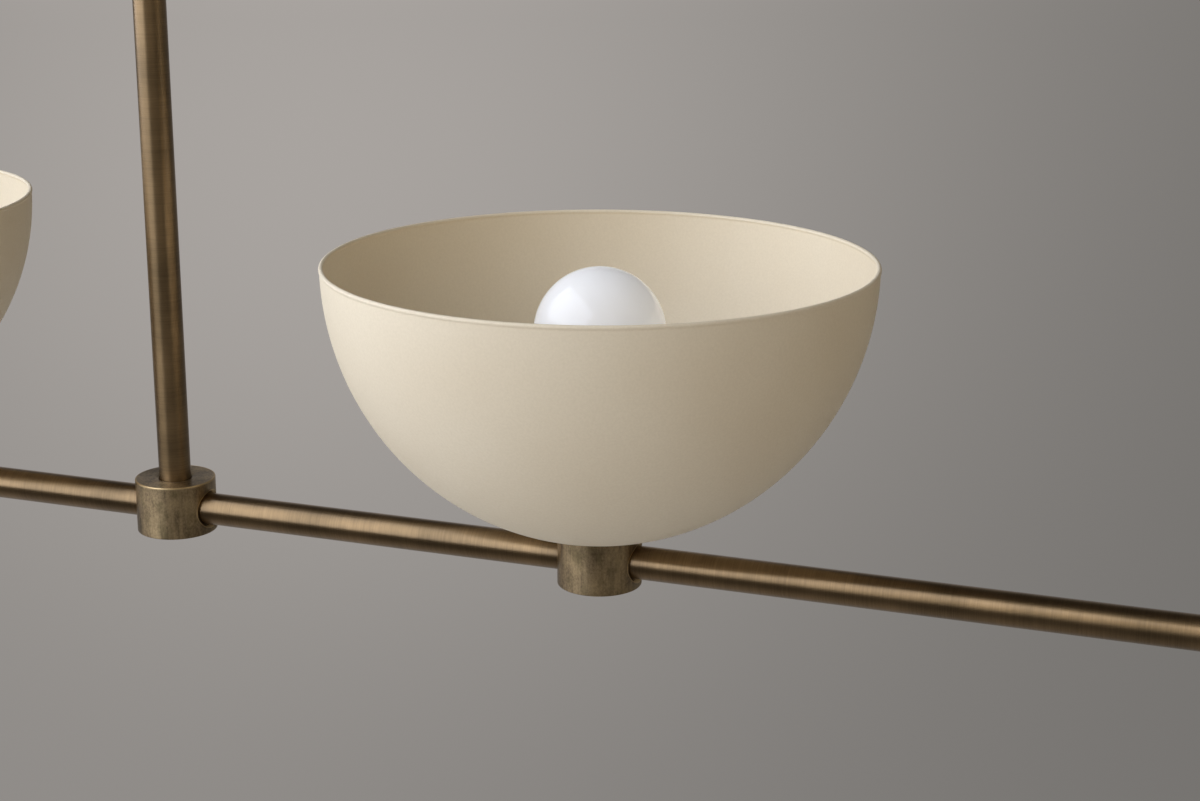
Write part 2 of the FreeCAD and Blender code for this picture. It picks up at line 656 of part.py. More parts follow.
def make_ground_screw():
    head_top = -PLATE_THICKNESS - 2 * LEAD_RADIUS
    shank = cylinder(GROUND_SCREW_RADIUS, -head_top, Vector(GROUND_SCREW_X, 0, head_top))
    head = cylinder(GROUND_HEAD_RADIUS, GROUND_HEAD_HEIGHT, Vector(GROUND_SCREW_X, 0, head_top - GROUND_HEAD_HEIGHT))
    return shank.fuse(head).removeSplitter()


def plate_arm(half_length, direction):
    """One straight arm of the ceiling plate, right through its middle, with rounded corners."""
    half_width = PLATE_ARM_WIDTH / 2
    size_x, size_y = (half_length, half_width) if direction == ALONG else (half_width, half_length)
    arm = Part.makeBox(2 * size_x, 2 * size_y, PLATE_THICKNESS, Vector(-size_x, -size_y, -PLATE_THICKNESS))
    upright = [e for e in arm.Edges if e.BoundBox.ZLength > PLATE_THICKNESS / 2]
    return arm.makeFillet(PLATE_CORNER, upright)


def slot(x):
    """A slot for a ceiling box screw, running along the bar."""
    straight = BOX_SLOT_LENGTH - 2 * BOX_SLOT_RADIUS
    low = Vector(x - straight / 2, 0, -PLATE_THICKNESS)
    high = low + ALONG * straight
    middle = Part.makeBox(straight, 2 * BOX_SLOT_RADIUS, PLATE_THICKNESS, low - ACROSS * BOX_SLOT_RADIUS)
    ends = [cylinder(BOX_SLOT_RADIUS, PLATE_THICKNESS, end) for end in (low, high)]
    return middle.fuse(ends)


def make_mounting_plate():
    """The cross-shaped steel plate that screws to the ceiling box and carries the canopy studs."""
    plate = plate_arm(PLATE_SLOT_ARM, ALONG).fuse(plate_arm(PLATE_STUD_ARM, ACROSS)).removeSplitter()
    below = Vector(0, 0, -PLATE_THICKNESS)
    plate = plate.cut(cylinder(PLATE_WIRE_HOLE_RADIUS, PLATE_THICKNESS, below))
    for side in (-1, 1):
        plate = plate.cut(slot(side * BOX_SCREW_SPACING / 2))
        stud = below + ACROSS * (side * STUD_SPACING / 2)
        plate = plate.cut(cylinder(STUD_RADIUS + STUD_THREAD_CLEARANCE, PLATE_THICKNESS, stud))
    ground = below + ALONG * GROUND_SCREW_X
    return plate.cut(cylinder(GROUND_SCREW_RADIUS + THREAD_CLEARANCE, PLATE_THICKNESS, ground))


def stud_places(height):
    return [Vector(0, side * STUD_SPACING / 2, height) for side in (-1, 1)]


def make_canopy_studs():
    length = CANOPY_DEPTH + STUD_BELOW_CANOPY
    return group([cylinder(STUD_RADIUS, length, place) for place in stud_places(-length)])


def make_cap_nuts():
    """Round domed nuts under the canopy."""
    nuts = []
    for place in stud_places(-CANOPY_DEPTH - CAP_NUT_HEIGHT):
        nut = cylinder(CAP_NUT_RADIUS, CAP_NUT_HEIGHT, place)
        nut = nut.makeFillet(CAP_NUT_ROUND, circles_at(nut, place.z))
        bore_start = place + UP * (CAP_NUT_HEIGHT - CAP_NUT_BORE_DEPTH)
        nuts.append(nut.cut(cylinder(STUD_RADIUS + STUD_THREAD_CLEARANCE, CAP_NUT_BORE_DEPTH, bore_start)))
    return group(nuts)


def make_canopy():
    """A plain spun cap with a rounded lower edge, holes for the studs and the ball joint's housing."""
    base = Vector(0, 0, -CANOPY_DEPTH)
    outer = cylinder(CANOPY_DIAMETER / 2, CANOPY_DEPTH, base)
    outer = outer.makeFillet(CANOPY_EDGE_ROUND, circles_at(outer, base.z))
    floor = base + UP * CANOPY_WALL
    inner = cylinder(CANOPY_DIAMETER / 2 - CANOPY_WALL, CANOPY_DEPTH - CANOPY_WALL, floor)
    inner = inner.makeFillet(CANOPY_EDGE_ROUND - CANOPY_WALL, circles_at(inner, floor.z))
    canopy = outer.cut(inner)
    canopy = canopy.cut(cylinder(HOUSING_NECK_RADIUS + TUBE_CLEARANCE, CANOPY_DEPTH, base))
    for place in stud_places(-CANOPY_DEPTH):
        canopy = canopy.cut(cylinder(STUD_RADIUS + STUD_CLEARANCE, CANOPY_DEPTH, place))
    return canopy


def ball_point(rise):
    return Vector(0, 0, BALL_Z + rise)


def sphere(radius):
    return Part.makeSphere(radius, ball_point(0))


def make_swivel_housing():
    """The flanged cup in the canopy's floor that carries the ball."""
    floor = CANOPY_WALL - BALL_ABOVE_CANOPY_FACE
    flange = cylinder(HOUSING_FLANGE_RADIUS, HOUSING_TOP - floor, ball_point(floor))
    bottom = -BALL_ABOVE_CANOPY_FACE - HOUSING_BELOW_CANOPY
    neck = cylinder(HOUSING_NECK_RADIUS, floor - bottom, ball_point(bottom))
    housing = flange.fuse(neck).cut(sphere(SEAT_SPHERE_RADIUS))
    housing = housing.cut(cylinder(HOUSING_OPENING_RADIUS, -bottom, ball_point(bottom)))
    ring_seat = RING_RADIUS + THREAD_CLEARANCE
    return housing.cut(cylinder(ring_seat, HOUSING_TOP - RING_START, ball_point(RING_START))).removeSplitter()


def make_retaining_ring():
    """The notched ring that closes the housing over the upper liner."""
    length = HOUSING_TOP - RING_START
    closing = cylinder(RING_RADIUS, length, ball_point(RING_START)).cut(sphere(SEAT_SPHERE_RADIUS))
    closing = closing.cut(cylinder(RING_OPENING_RADIUS, length, ball_point(RING_START)))
    corner = ball_point(HOUSING_TOP - RING_NOTCH_WIDTH / 2) - Vector(RING_RADIUS, RING_NOTCH_WIDTH / 2, 0)
    return closing.cut(Part.makeBox(2 * RING_RADIUS, RING_NOTCH_WIDTH, RING_NOTCH_WIDTH, corner))


def make_housing_nut():
    """The round nut that draws the housing down on the canopy from below."""
    start = Vector(0, 0, -CANOPY_DEPTH - HOUSING_NUT_THICKNESS)
    nut = cylinder(HOUSING_NUT_RADIUS, HOUSING_NUT_THICKNESS, start)
    nut = nut.makeFillet(HUB_EDGE_ROUND, circles_at(nut, start.z))
    return nut.cut(cylinder(HOUSING_NECK_RADIUS + THREAD_CLEARANCE, HOUSING_NUT_THICKNESS, start))


def make_liner(low, high):
    """A thin spherical liner between the ball and its housing."""
    shell = sphere(LINER_OUTER_RADIUS).cut(sphere(LINER_INNER_RADIUS))
    slab = cylinder(LINER_OUTER_RADIUS, high - low, ball_point(low))
    return shell.common(slab)


def make_swivel_ball():
    slab = cylinder(BALL_RADIUS, 2 * BALL_HALF_HEIGHT, ball_point(-BALL_HALF_HEIGHT))
    ball = sphere(BALL_RADIUS).common(slab)
    return ball.cut(cylinder(NIPPLE_HOLE_RADIUS, 2 * BALL_RADIUS, ball_point(-BALL_RADIUS)))


def make_swivel_nipple():
    """The nipple that joins the ball to the stem's top."""
    bottom = -STEM_TOP_BELOW_BALL - NIPPLE_INTO_TUBE
    return nipple(NIPPLE_ABOVE_BALL - bottom, ball_point(bottom))


def ceiling_nodes():
    """What stays fixed to the ceiling."""
    columns = stem_lead_columns()
    return {
        "mounting_plate": make_mounting_plate(),
        "ground_screw": make_ground_screw(),
        "ground_lead": make_ground_lead(),
        "canopy": make_canopy(),
        "canopy_studs": make_canopy_studs(),
        "canopy_cap_nuts": make_cap_nuts(),
        "swivel_housing": make_swivel_housing(),
        "swivel_housing_nut": make_housing_nut(),
        "swivel_retaining_ring": make_retaining_ring(),
        "wire_connectors": make_wire_connectors(),
        "canopy_line_leads": group([canopy_lead(x, -1) for x in columns]),
        "canopy_neutral_leads": group([canopy_lead(x, 1) for x in columns]),
    }


def swivel_nodes():
    return {
        "swivel_lower_liner": make_liner(LOWER_LINER_BOTTOM, LOWER_LINER_TOP),
        "swivel_upper_liner": make_liner(UPPER_LINER_BOTTOM, UPPER_LINER_TOP),
        "swivel_ball": make_swivel_ball(),
        "swivel_nipple": make_swivel_nipple(),
    }


def bar_nodes():
    """The stem, the centre hub, the bar tubes and what joins and wires them."""
    nodes = {"stem": make_stem(), "centre_hub": make_centre_hub()}
    for name, (start_x, end_x) in bar_spans().items():
        nodes[name] = make_bar_tube(start_x, end_x)
    nodes["tube_bushings"] = make_tube_bushings()
    nodes["tube_nipples"] = make_tube_nipples()
    nodes["hub_plugs"] = group([make_hub_plug(x) for x in LIGHT_X + [0]])
    nodes["line_leads"] = group([light_lead(x, -1) for x in LIGHT_X])
    nodes["neutral_leads"] = group([light_lead(x, 1) for x in LIGHT_X])
    return nodes


def light_nodes():
    """What repeats at each of the four lights."""
    nodes = {
        "socket_nipples": group([make_socket_nipple(x) for x in LIGHT_X]),
        "shade_washers": group([make_shade_washer(x) for x in LIGHT_X]),
        "shade_nuts": group([make_shade_nut(x) for x in LIGHT_X]),
        "socket_contacts": group([make_socket_contact(x) for x in LIGHT_X]),
        "socket_terminal_screws": group([screw for x in LIGHT_X for screw in make_terminal_screws(x)]),
    }
    for number, x in enumerate(LIGHT_X, start=1):
        inward = -1 if x > 0 else 1
        sides = (inward,) if abs(x) > SHADE_SPACING else (-1, 1)
        nodes[f"shade_hub_{number}"] = make_hub(x, sides)
        nodes[f"shade_{number}"] = make_shade(x)
        nodes[f"socket_body_{number}"] = make_socket_body(x)
        nodes[f"socket_shell_{number}"] = make_socket_shell(x)
        nodes[f"bulb_glass_{number}"] = make_bulb_glass(x)
        nodes[f"bulb_base_{number}"] = make_bulb_base(x)
        nodes[f"bulb_contact_{number}"] = make_bulb_contact(x)
    return nodes


def main():
    os.makedirs("parts", exist_ok=True)
    nodes = {**ceiling_nodes(), **swivel_nodes(), **bar_nodes(), **light_nodes()}
    for name, shape in nodes.items():
        shape.exportStep(f"parts/{name}.step")
        print(f"{name}: solids {len(shape.Solids)}, valid {shape.isValid()}, volume {shape.Volume:.1f}")
    print(f"nodes {len(nodes)}, hub bottom z {HUB_BOTTOM_Z:.1f}, bar z {BAR_Z:.1f}, ball z {BALL_Z:.1f}")
    print(f"rim z {HUB_TOP_Z + SHADE_HEIGHT:.1f}, lamp tip z {LAMP_Z:.1f}, hub top z {HUB_TOP_Z:.1f}")


main()
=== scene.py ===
"""The finished surfaces of a linear island pendant: aged brass, cream bowl shades and opal lamps."""

import json
import math

import bmesh
import bpy
from bpy.props import FloatProperty, FloatVectorProperty, IntProperty, PointerProperty
from mathutils import Matrix, Vector

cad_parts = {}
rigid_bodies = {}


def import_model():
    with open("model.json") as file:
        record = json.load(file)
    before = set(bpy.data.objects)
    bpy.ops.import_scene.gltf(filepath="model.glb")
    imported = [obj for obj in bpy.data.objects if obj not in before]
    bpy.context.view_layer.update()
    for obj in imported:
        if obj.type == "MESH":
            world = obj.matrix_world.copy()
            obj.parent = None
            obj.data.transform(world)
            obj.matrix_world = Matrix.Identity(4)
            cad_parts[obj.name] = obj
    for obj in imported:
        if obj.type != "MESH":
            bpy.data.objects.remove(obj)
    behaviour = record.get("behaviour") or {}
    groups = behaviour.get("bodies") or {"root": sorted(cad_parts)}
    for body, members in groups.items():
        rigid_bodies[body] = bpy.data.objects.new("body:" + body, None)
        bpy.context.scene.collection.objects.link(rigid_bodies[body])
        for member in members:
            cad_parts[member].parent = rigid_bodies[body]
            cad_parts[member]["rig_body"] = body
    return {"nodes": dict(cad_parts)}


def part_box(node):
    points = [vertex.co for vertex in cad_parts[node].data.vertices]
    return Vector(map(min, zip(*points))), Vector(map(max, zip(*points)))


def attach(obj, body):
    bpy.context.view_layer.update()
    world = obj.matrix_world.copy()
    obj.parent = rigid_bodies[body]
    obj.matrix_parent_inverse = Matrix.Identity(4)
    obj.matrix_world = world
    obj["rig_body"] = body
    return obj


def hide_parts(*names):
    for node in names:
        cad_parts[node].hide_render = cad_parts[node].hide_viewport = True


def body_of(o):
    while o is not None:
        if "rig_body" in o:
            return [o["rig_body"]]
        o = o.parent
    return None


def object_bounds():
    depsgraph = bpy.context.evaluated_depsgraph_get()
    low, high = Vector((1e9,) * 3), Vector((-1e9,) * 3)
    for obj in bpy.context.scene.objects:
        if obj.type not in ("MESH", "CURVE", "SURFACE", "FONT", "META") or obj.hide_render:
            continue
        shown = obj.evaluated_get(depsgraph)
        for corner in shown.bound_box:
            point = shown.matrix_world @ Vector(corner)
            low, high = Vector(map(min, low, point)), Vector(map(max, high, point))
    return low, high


bl_info = {
    "name": "Linear island pendant",
    "version": (1, 0, 0),
    "blender": (4, 5, 0),
    "location": "3D View > Sidebar > Pendant",
    "description": "Gives an island pendant its finished surfaces",
    "category": "Add Mesh",
}

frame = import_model()
CAD_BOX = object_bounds()
MM = 0.001
LIGHTS = (1, 2, 3, 4)
TUBES = ("tube_outer_left", "tube_inner_left", "tube_inner_right", "tube_outer_right")
FULL_TURN = 2 * math.pi
WELD_DISTANCE = 0.002 * MM
RING_TOLERANCE = 0.02 * MM

TUBE_WALL = 1.2 * MM
TUBE_SEGMENTS = 128
TUBE_END_ROUND = 0.25 * MM

BEAD_STEPS = 18
BOWL_WELD_DISTANCE = 0.03 * MM
BOWL_JOINT_ROUND = 0.3 * MM

LAMP_SEGMENTS = 160
LAMP_WAIST_STEPS = 14
LAMP_HEAD_STEPS = 56
LAMP_STEM_RADIUS = 11.9 * MM  # the glass inside the cap
LAMP_SHOULDER = 0.6 * MM  # how far the glass draws in above the cap
CAP_SEGMENTS = 96
CAP_FOOT = 1.0 * MM
CAP_COLLAR = 2.2 * MM
CAP_BORE_RADIUS = 12.05 * MM
CAP_EDGE_ROUND = 0.25 * MM
THREAD_STEPS = 72  # round one turn
THREAD_ARC_STEPS = 5  # along the half of a thread that is one arc
THREAD_WELD_DISTANCE = 0.02 * MM

CANOPY_SEGMENTS = 192
CANOPY_WALL = 1.2 * MM
CANOPY_HOLE_RADIUS = 14.6 * MM
CANOPY_EDGE_ROUND = 2.5 * MM
CANOPY_RIM_ROUND = 0.3 * MM
STUD_HOLE_SIDES = 32
STUD_HOLE_RADIUS = 2.38 * MM
STUD_HOLE_DEPTH = 10 * MM

CONNECTOR_SIDES = 24
CONNECTOR_LENGTH = 17 * MM
CONNECTOR_MOUTH = 7 * MM
CONNECTOR_TIP = 4.5 * MM
CONNECTOR_RIB = 0.5 * MM
CONNECTOR_MARGIN = 0.1 * MM  # between the ribs at the mouth and the CAD's round mouth
CONNECTOR_LIP = 1.2 * MM
CONNECTOR_TIP_WALL = 2 * MM
CONNECTOR_TAPER = 0.6  # the bore's width at its floor, as a share of that at the mouth
LEAD_CONNECTOR_Y = 14 * MM
GROUND_CONNECTOR_Y = 13 * MM

EDGE_WEAR_AND_HIGHLIGHT_FULL = 0.3 * MM  # how far from a hub's upper edge the wear and its painted highlight are full
EDGE_WEAR_AND_HIGHLIGHT_END = 1.1 * MM  # how far from that edge they have faded out
PORT_MARGIN = 1.6 * MM  # from a bar tube's surface to the edge of the hub's port
PORT_GLINT_REACH = 0.4 * MM  # how far the painted glint reaches to either side of that edge

LACQUER_ROUGHNESS = 0.24
BRUSH_TURN = 0.25  # a quarter turn, so that highlights are drawn out along the axis

# The floor shows the backdrop's colour by itself, and takes a little light so that a shadow falls on it.
FLOOR_OWN_SHARE = 0.93
FLOOR_LIT_SHARE = 0.05
FLOOR_RADIUS = 60
FLOOR_SEGMENTS = 96

# Each softbox: azimuth and elevation in degrees, distance, width and height in metres, colour.
SOFTBOXES = {
    "key": (-144, 30, 2.9, 5.7, 4.15, "#ECF2FF"),
    "fill": (-66, 32, 3.2, 2.6, 2.6, "#FFF6EA"),
}
SOFTBOX_GAIN = 1.35  # makes up for the light that falls aslant
SENSOR_WIDTH_MM = 36


def middle(node):
    """The centre of a node's box."""
    low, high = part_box(node)
    return (low + high) / 2


# Colour and shader nodes


def linear(hex_colour):
    """An sRGB hex colour as the linear RGBA that shaders take."""
    channels = [int(hex_colour[i : i + 2], 16) / 255 for i in (1, 3, 5)]
    return [c / 12.92 if c <= 0.04045 else ((c + 0.055) / 1.055) ** 2.4 for c in channels] + [1.0]


def rgba(colour):
    """A hex colour or a setting's channels as linear RGBA; another node's output stays as it is."""
    if isinstance(colour, bpy.types.NodeSocket):
        return colour
    return linear(colour) if isinstance(colour, str) else [*colour][:3] + [1.0]


def feed(tree, node, inputs):
    """Gives each named input of a node a value or another node's output."""
    for name, value in inputs.items():
        socket = node.inputs[name]
        if isinstance(value, bpy.types.NodeSocket):
            tree.links.new(value, socket)
        else:
            socket.default_value = value


def add(tree, kind, inputs=None, **settings):
    """One shader node with its settings and inputs."""
    node = tree.nodes.new(kind)
    for name, value in settings.items():
        setattr(node, name, value)
    feed(tree, node, inputs or {})
    return node


def calculate(tree, operation, *values):
    """A calculation with numbers, each a value or another node's output."""
    return add(tree, "ShaderNodeMath", dict(enumerate(values)), operation=operation).outputs[0]


def calculate_vector(tree, operation, *vectors):
    """A calculation with vectors. A length or a dot product comes out as a number."""
    node = add(tree, "ShaderNodeVectorMath", dict(enumerate(vectors)), operation=operation)
    return node.outputs["Value" if operation in ("LENGTH", "DOT_PRODUCT") else "Vector"]


def plane_distance(tree, x, y):
    """How far a point in a plane is from the plane's origin."""
    point = add(tree, "ShaderNodeCombineXYZ", {"X": x, "Y": y}).outputs[0]
    return calculate_vector(tree, "LENGTH", point)


def object_axes(tree):
    """The place of each surface point in the piece, as outputs X, Y and Z."""
    place = add(tree, "ShaderNodeTexCoord").outputs["Object"]
    return add(tree, "ShaderNodeSeparateXYZ", {"Vector": place}).outputs


def empty_tree(owner):
    """The node tree of a material or a world, cleared."""
    owner.use_nodes = True
    owner.node_tree.nodes.clear()
    return owner.node_tree


def new_material(name):
    """A material with nothing but a Principled shader, its tree and that shader."""
    material = bpy.data.materials.new(name)
    tree = empty_tree(material)
    shader = add(tree, "ShaderNodeBsdfPrincipled")
    add(tree, "ShaderNodeOutputMaterial", {"Surface": shader.outputs["BSDF"]})
    return material, tree, shader


def grain(tree, size_mm, detail=3.0, roughness=0.5, turn=(0, 0, 0)):
    """Noise whose features have the given size, or sizes along X, Y and Z."""
    sizes = [size_mm] * 3 if isinstance(size_mm, float) else size_mm
    scale = [1 / (size * MM) for size in sizes]
    place = add(tree, "ShaderNodeTexCoord").outputs["Object"]
    mapping = add(tree, "ShaderNodeMapping", {"Vector": place, "Scale": scale, "Rotation": turn})
    spots = {"Vector": mapping.outputs["Vector"], "Scale": 1.0, "Detail": detail, "Roughness": roughness}
    return add(tree, "ShaderNodeTexNoise", spots).outputs["Fac"]


def remap(tree, value, low, high, out_low=0.0, out_high=1.0):
    """A value rescaled and clamped from one range to another."""
    ranges = {"Value": value, "From Min": low, "From Max": high, "To Min": out_low, "To Max": out_high}
    return add(tree, "ShaderNodeMapRange", ranges).outputs["Result"]


def blend_colours(tree, factor, first, second):
    """A mix of two colours."""
    inputs = {0: factor, 6: rgba(first), 7: rgba(second)}
    return add(tree, "ShaderNodeMix", inputs, data_type="RGBA").outputs[2]


def shared_colours(tree, value, first, second, low=0.3, high=0.7):
    """Two colours shared out by a value: the first where it is low, the second where it is high."""
    return blend_colours(tree, remap(tree, value, low, high), first, second)


def surface(tree, shader, colour, roughness, metallic=0.0):
    """Gives a shader its colour, roughness and metallic share."""
    feed(tree, shader, {"Base Color": colour, "Roughness": roughness, "Metallic": metallic})


def relief(tree, shader, value, depth_mm, strength):
    """Bump of a real depth on a shader."""
    shape = {"Height": value, "Distance": depth_mm * MM, "Strength": strength}
    feed(tree, shader, {"Normal": add(tree, "ShaderNodeBump", shape).outputs["Normal"]})


def lacquer(tree, shader, look):
    """A thin clear lacquer: it greys the highlights and the grazing edges a little."""
    feed(tree, shader, {"Coat Weight": look.lacquer, "Coat Roughness": LACQUER_ROUGHNESS})


def brush_round(tree, shader, axis, amount):
    """Fine lines round an axis: they draw each highlight out along that axis."""
    around = add(tree, "ShaderNodeTangent", direction_type="RADIAL", axis=axis).outputs["Tangent"]
    feed(tree, shader, {"Tangent": around, "Anisotropic": amount, "Anisotropic Rotation": BRUSH_TURN})


def aged_brass(name, axis, look):
    """Aged brass, brushed round an axis and lacquered: fine lines, the patina rubbed thin in clouds."""
    material, tree, shader = new_material(name)
    line_mm = [look.brush_line_length / MM] * 3
    line_mm["XYZ".index(axis)] = look.brush_line_pitch / MM
    lines = grain(tree, line_mm, roughness=0.6)
    clouds = grain(tree, 24.0)
    patina = calculate(tree, "MULTIPLY_ADD", lines, 0.55, clouds)
    colour = shared_colours(tree, patina, look.patina, look.worn, 0.45, 1.1)
    surface(tree, shader, colour, remap(tree, lines, 0.3, 0.7, 0.41, 0.33), metallic=1.0)
    brush_round(tree, shader, axis, amount=0.65)
    lacquer(tree, shader, look)
    relief(tree, shader, lines, depth_mm=0.008, strength=0.5)
    return material


def edge_wear_and_highlight(tree):
    """How worn and lit a hub's edges look: wear with a painted highlight at its upper edge, and a painted
    glint round its ports. Hubs stand at whole steps along X.
    """
    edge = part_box("centre_hub")[1]
    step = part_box("shade_hub_3")[1].x - edge.x
    axes = object_axes(tree)
    x = calculate(tree, "WRAP", axes["X"], -step / 2, step / 2)
    off_side = calculate(tree, "SUBTRACT", plane_distance(tree, x, axes["Y"]), edge.x)
    off_top = calculate(tree, "SUBTRACT", axes["Z"], edge.z)
    away = plane_distance(tree, off_side, off_top)
    upper_wear_and_highlight = remap(tree, away, EDGE_WEAR_AND_HIGHLIGHT_FULL, EDGE_WEAR_AND_HIGHLIGHT_END, 0.9, 0.0)
    return calculate(tree, "MAXIMUM", upper_wear_and_highlight, port_glint(tree, axes))


def port_glint(tree, axes):
    """A painted glint on a hub, round a bar tube's port. The two end hubs have none on their outer side.
    """
    port_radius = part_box("tube_inner_left")[1].y + PORT_MARGIN
    end = middle(f"shade_hub_{LIGHTS[-1]}").x
    above = calculate(tree, "SUBTRACT", axes["Z"], middle("tube_inner_left").z)
    glint_ring = calculate(tree, "COMPARE", plane_distance(tree, axes["Y"], above), port_radius, PORT_GLINT_REACH)
    inside = calculate(tree, "LESS_THAN", calculate(tree, "ABSOLUTE", axes["X"]), end)
    return calculate(tree, "MULTIPLY", glint_ring, inside)


def turned_brass(name, look):
    """Aged brass, turned, rubbed lengthwise and lacquered: specks and streaks, worn upper edges with a
    painted highlight, and a painted glint round the ports.
    """
    material, tree, shader = new_material(name)
    specks = grain(tree, (1.1, 1.1, 1.3), detail=4.0, roughness=0.75)
    streaks = grain(tree, (1.6, 1.6, 18.0), roughness=0.6)
    clouds = grain(tree, (11.0, 11.0, 14.0), detail=2.0)
    patina = calculate(tree, "ADD", specks, clouds)
    patina = calculate(tree, "MULTIPLY_ADD", streaks, 0.7, patina)
    colour = shared_colours(tree, patina, look.hub_patina, look.hub_worn, 1.05, 1.65)
    olive = remap(tree, grain(tree, (6.0, 6.0, 9.0), detail=4.0), 0.48, 0.7, 0.0, 0.5)
    colour = blend_colours(tree, olive, colour, "#5C5334")
    # worn brass at the upper edges with a painted highlight there, and a painted glint round the ports
    colour = blend_colours(tree, edge_wear_and_highlight(tree), colour, "#E2C694")
    surface(tree, shader, colour, remap(tree, specks, 0.35, 0.65, 0.52, 0.4), metallic=1.0)
    brush_round(tree, shader, "Z", amount=0.7)
    lacquer(tree, shader, look)
    relief(tree, shader, specks, depth_mm=0.012, strength=0.4)
    return material


def machined_brass(name):
    """Plain machined brass with tight tool lines, slightly dulled."""
    material, tree, shader = new_material(name)
    lines = grain(tree, (12.0, 12.0, 0.35), detail=2.0)
    colour = shared_colours(tree, grain(tree, 5.0), "#D8B56A", "#A9864A", low=0.35)
    surface(tree, shader, colour, remap(tree, lines, 0.3, 0.7, 0.22, 0.34), metallic=1.0)
    relief(tree, shader, lines, depth_mm=0.01, strength=0.5)
    return material


def plated_metal(name, bright, dull, roughness):
    """Electroplated metal: an even sheen with faint cloudiness and fine rub marks."""
    material, tree, shader = new_material(name)
    marks = grain(tree, (3.0, 0.4, 3.0), detail=2.0, turn=(0.3, 0.5, 0.2))
    colour = shared_colours(tree, grain(tree, 6.0), bright, dull, low=0.35)
    rough = remap(tree, marks, 0.3, 0.7, roughness - 0.05, roughness + 0.08)
    surface(tree, shader, colour, rough, metallic=1.0)
    relief(tree, shader, marks, depth_mm=0.005, strength=0.4)
    return material


def powder_coat(name, look):
    """Matte powder coat on spun metal: a fine pebbled skin, soft sheen and hardly any colour change."""
    material, tree, shader = new_material(name)
    pebbles = grain(tree, look.pebble_size / MM, detail=2.0, roughness=0.6)
    colour = shared_colours(tree, grain(tree, 60.0, detail=1.0), look.coat, look.coat_thin)
    speck = remap(tree, pebbles, 0.35, 0.65, 0.0, 0.14)
    colour = blend_colours(tree, speck, colour, "#C9BDA4")
    surface(tree, shader, colour, remap(tree, pebbles, 0.3, 0.7, 0.5, 0.62))
    feed(tree, shader, {"Specular IOR Level": 0.4})
    relief(tree, shader, pebbles, depth_mm=0.06, strength=0.6)
    return material


def opal_glass(name, look):
    """Blown opal glass: white under a clear gloss, faintly rippled, with light let through its wall and a
    painted glow for the light the wall passes on.
    """
    material, tree, shader = new_material(name)
    ripple = grain(tree, (24.0, 24.0, 30.0), detail=1.0)
    colour = shared_colours(tree, ripple, "#E2E3E4", "#DDDEE0")
    surface(tree, shader, colour, remap(tree, ripple, 0.3, 0.7, 0.03, 0.06))
    spread = {"Weight": 1.0, "Radius": (1.0, 1.0, 1.0), "Scale": 30 * MM}
    feed(tree, shader, {f"Subsurface {part}": value for part, value in spread.items()})
    # a painted glow: emission that stands in for the light the thin wall passes on to its far side
    feed(tree, shader, {"Emission Color": linear("#F8F8F8"), "Emission Strength": look.painted_glow})
    relief(tree, shader, ripple, depth_mm=0.05, strength=0.3)
    return material


def glazed_porcelain(name):
    """Glazed porcelain: warm white under a wet gloss, the glaze slightly wavy, with rare iron specks."""
    material, tree, shader = new_material(name)
    glaze = grain(tree, 5.0, detail=1.0)
    specks = grain(tree, 0.5, detail=1.0)
    colour = shared_colours(tree, glaze, "#EFEBE0", "#E4DED0")
    colour = blend_colours(tree, remap(tree, specks, 0.74, 0.8, 0.0, 0.6), colour, "#8B7A62")
    surface(tree, shader, colour, remap(tree, glaze, 0.3, 0.7, 0.08, 0.16))
    relief(tree, shader, glaze, depth_mm=0.05, strength=0.5)
    return material


def plastic(name, base, shade, roughness):
    """Moulded or extruded plastic: an even colour with a fine surface grain."""
    material, tree, shader = new_material(name)
    skin = grain(tree, 0.6, detail=2.0)
    colour = shared_colours(tree, grain(tree, 7.0, detail=2.0), base, shade)
    surface(tree, shader, colour, remap(tree, skin, 0.3, 0.7, roughness - 0.06, roughness + 0.08))
    relief(tree, shader, skin, depth_mm=0.02, strength=0.4)
    return material


def lamp_foot_glass(name):
    """The lamp's foot: black fused glass, with the grey solder of the contact at its tip."""
    material, tree, shader = new_material(name)
    tip_top = middle("bulb_contact_1").z
    fade = 0.05 * MM
    is_tip = remap(tree, object_axes(tree)["Z"], tip_top - fade, tip_top + fade, 1.0, 0.0)
    solder = grain(tree, 1.5)
    metal_colour = blend_colours(tree, solder, "#9C9A96", "#C9C7C2")
    glass_colour = blend_colours(tree, solder, "#0E0C10", "#1C1820")
    colour = blend_colours(tree, is_tip, glass_colour, metal_colour)
    surface(tree, shader, colour, remap(tree, solder, 0.3, 0.7, 0.12, 0.32), metallic=is_tip)
    relief(tree, shader, solder, depth_mm=0.05, strength=0.4)
    return material


# Shapes


def chain(bm, start, moves):
    """A line of edges in the XZ plane. Each move is a point to run to, or an arc: centre, angle, steps."""
    end = bm.verts.new((start[0], 0, start[1]))
    for move in moves:
        if len(move) == 2:
            end = bmesh.ops.extrude_vert_indiv(bm, verts=[end])["verts"][0]
            end.co = (move[0], 0, move[1])
            continue
        (x, z), angle, steps = move
        swept = bmesh.ops.spin(
            bm, geom=[end], cent=(x, 0, z), axis=(0, 1, 0), angle=angle, steps=steps
        )
        end = next(part for part in swept["geom_last"] if isinstance(part, bmesh.types.BMVert))


def weld(bm):
    """Joins corners that meet and drops the faces that are then left without an area."""
    bmesh.ops.remove_doubles(bm, verts=bm.verts[:], dist=WELD_DISTANCE)
    bmesh.ops.dissolve_degenerate(bm, dist=WELD_DISTANCE / 2, edges=bm.edges[:])


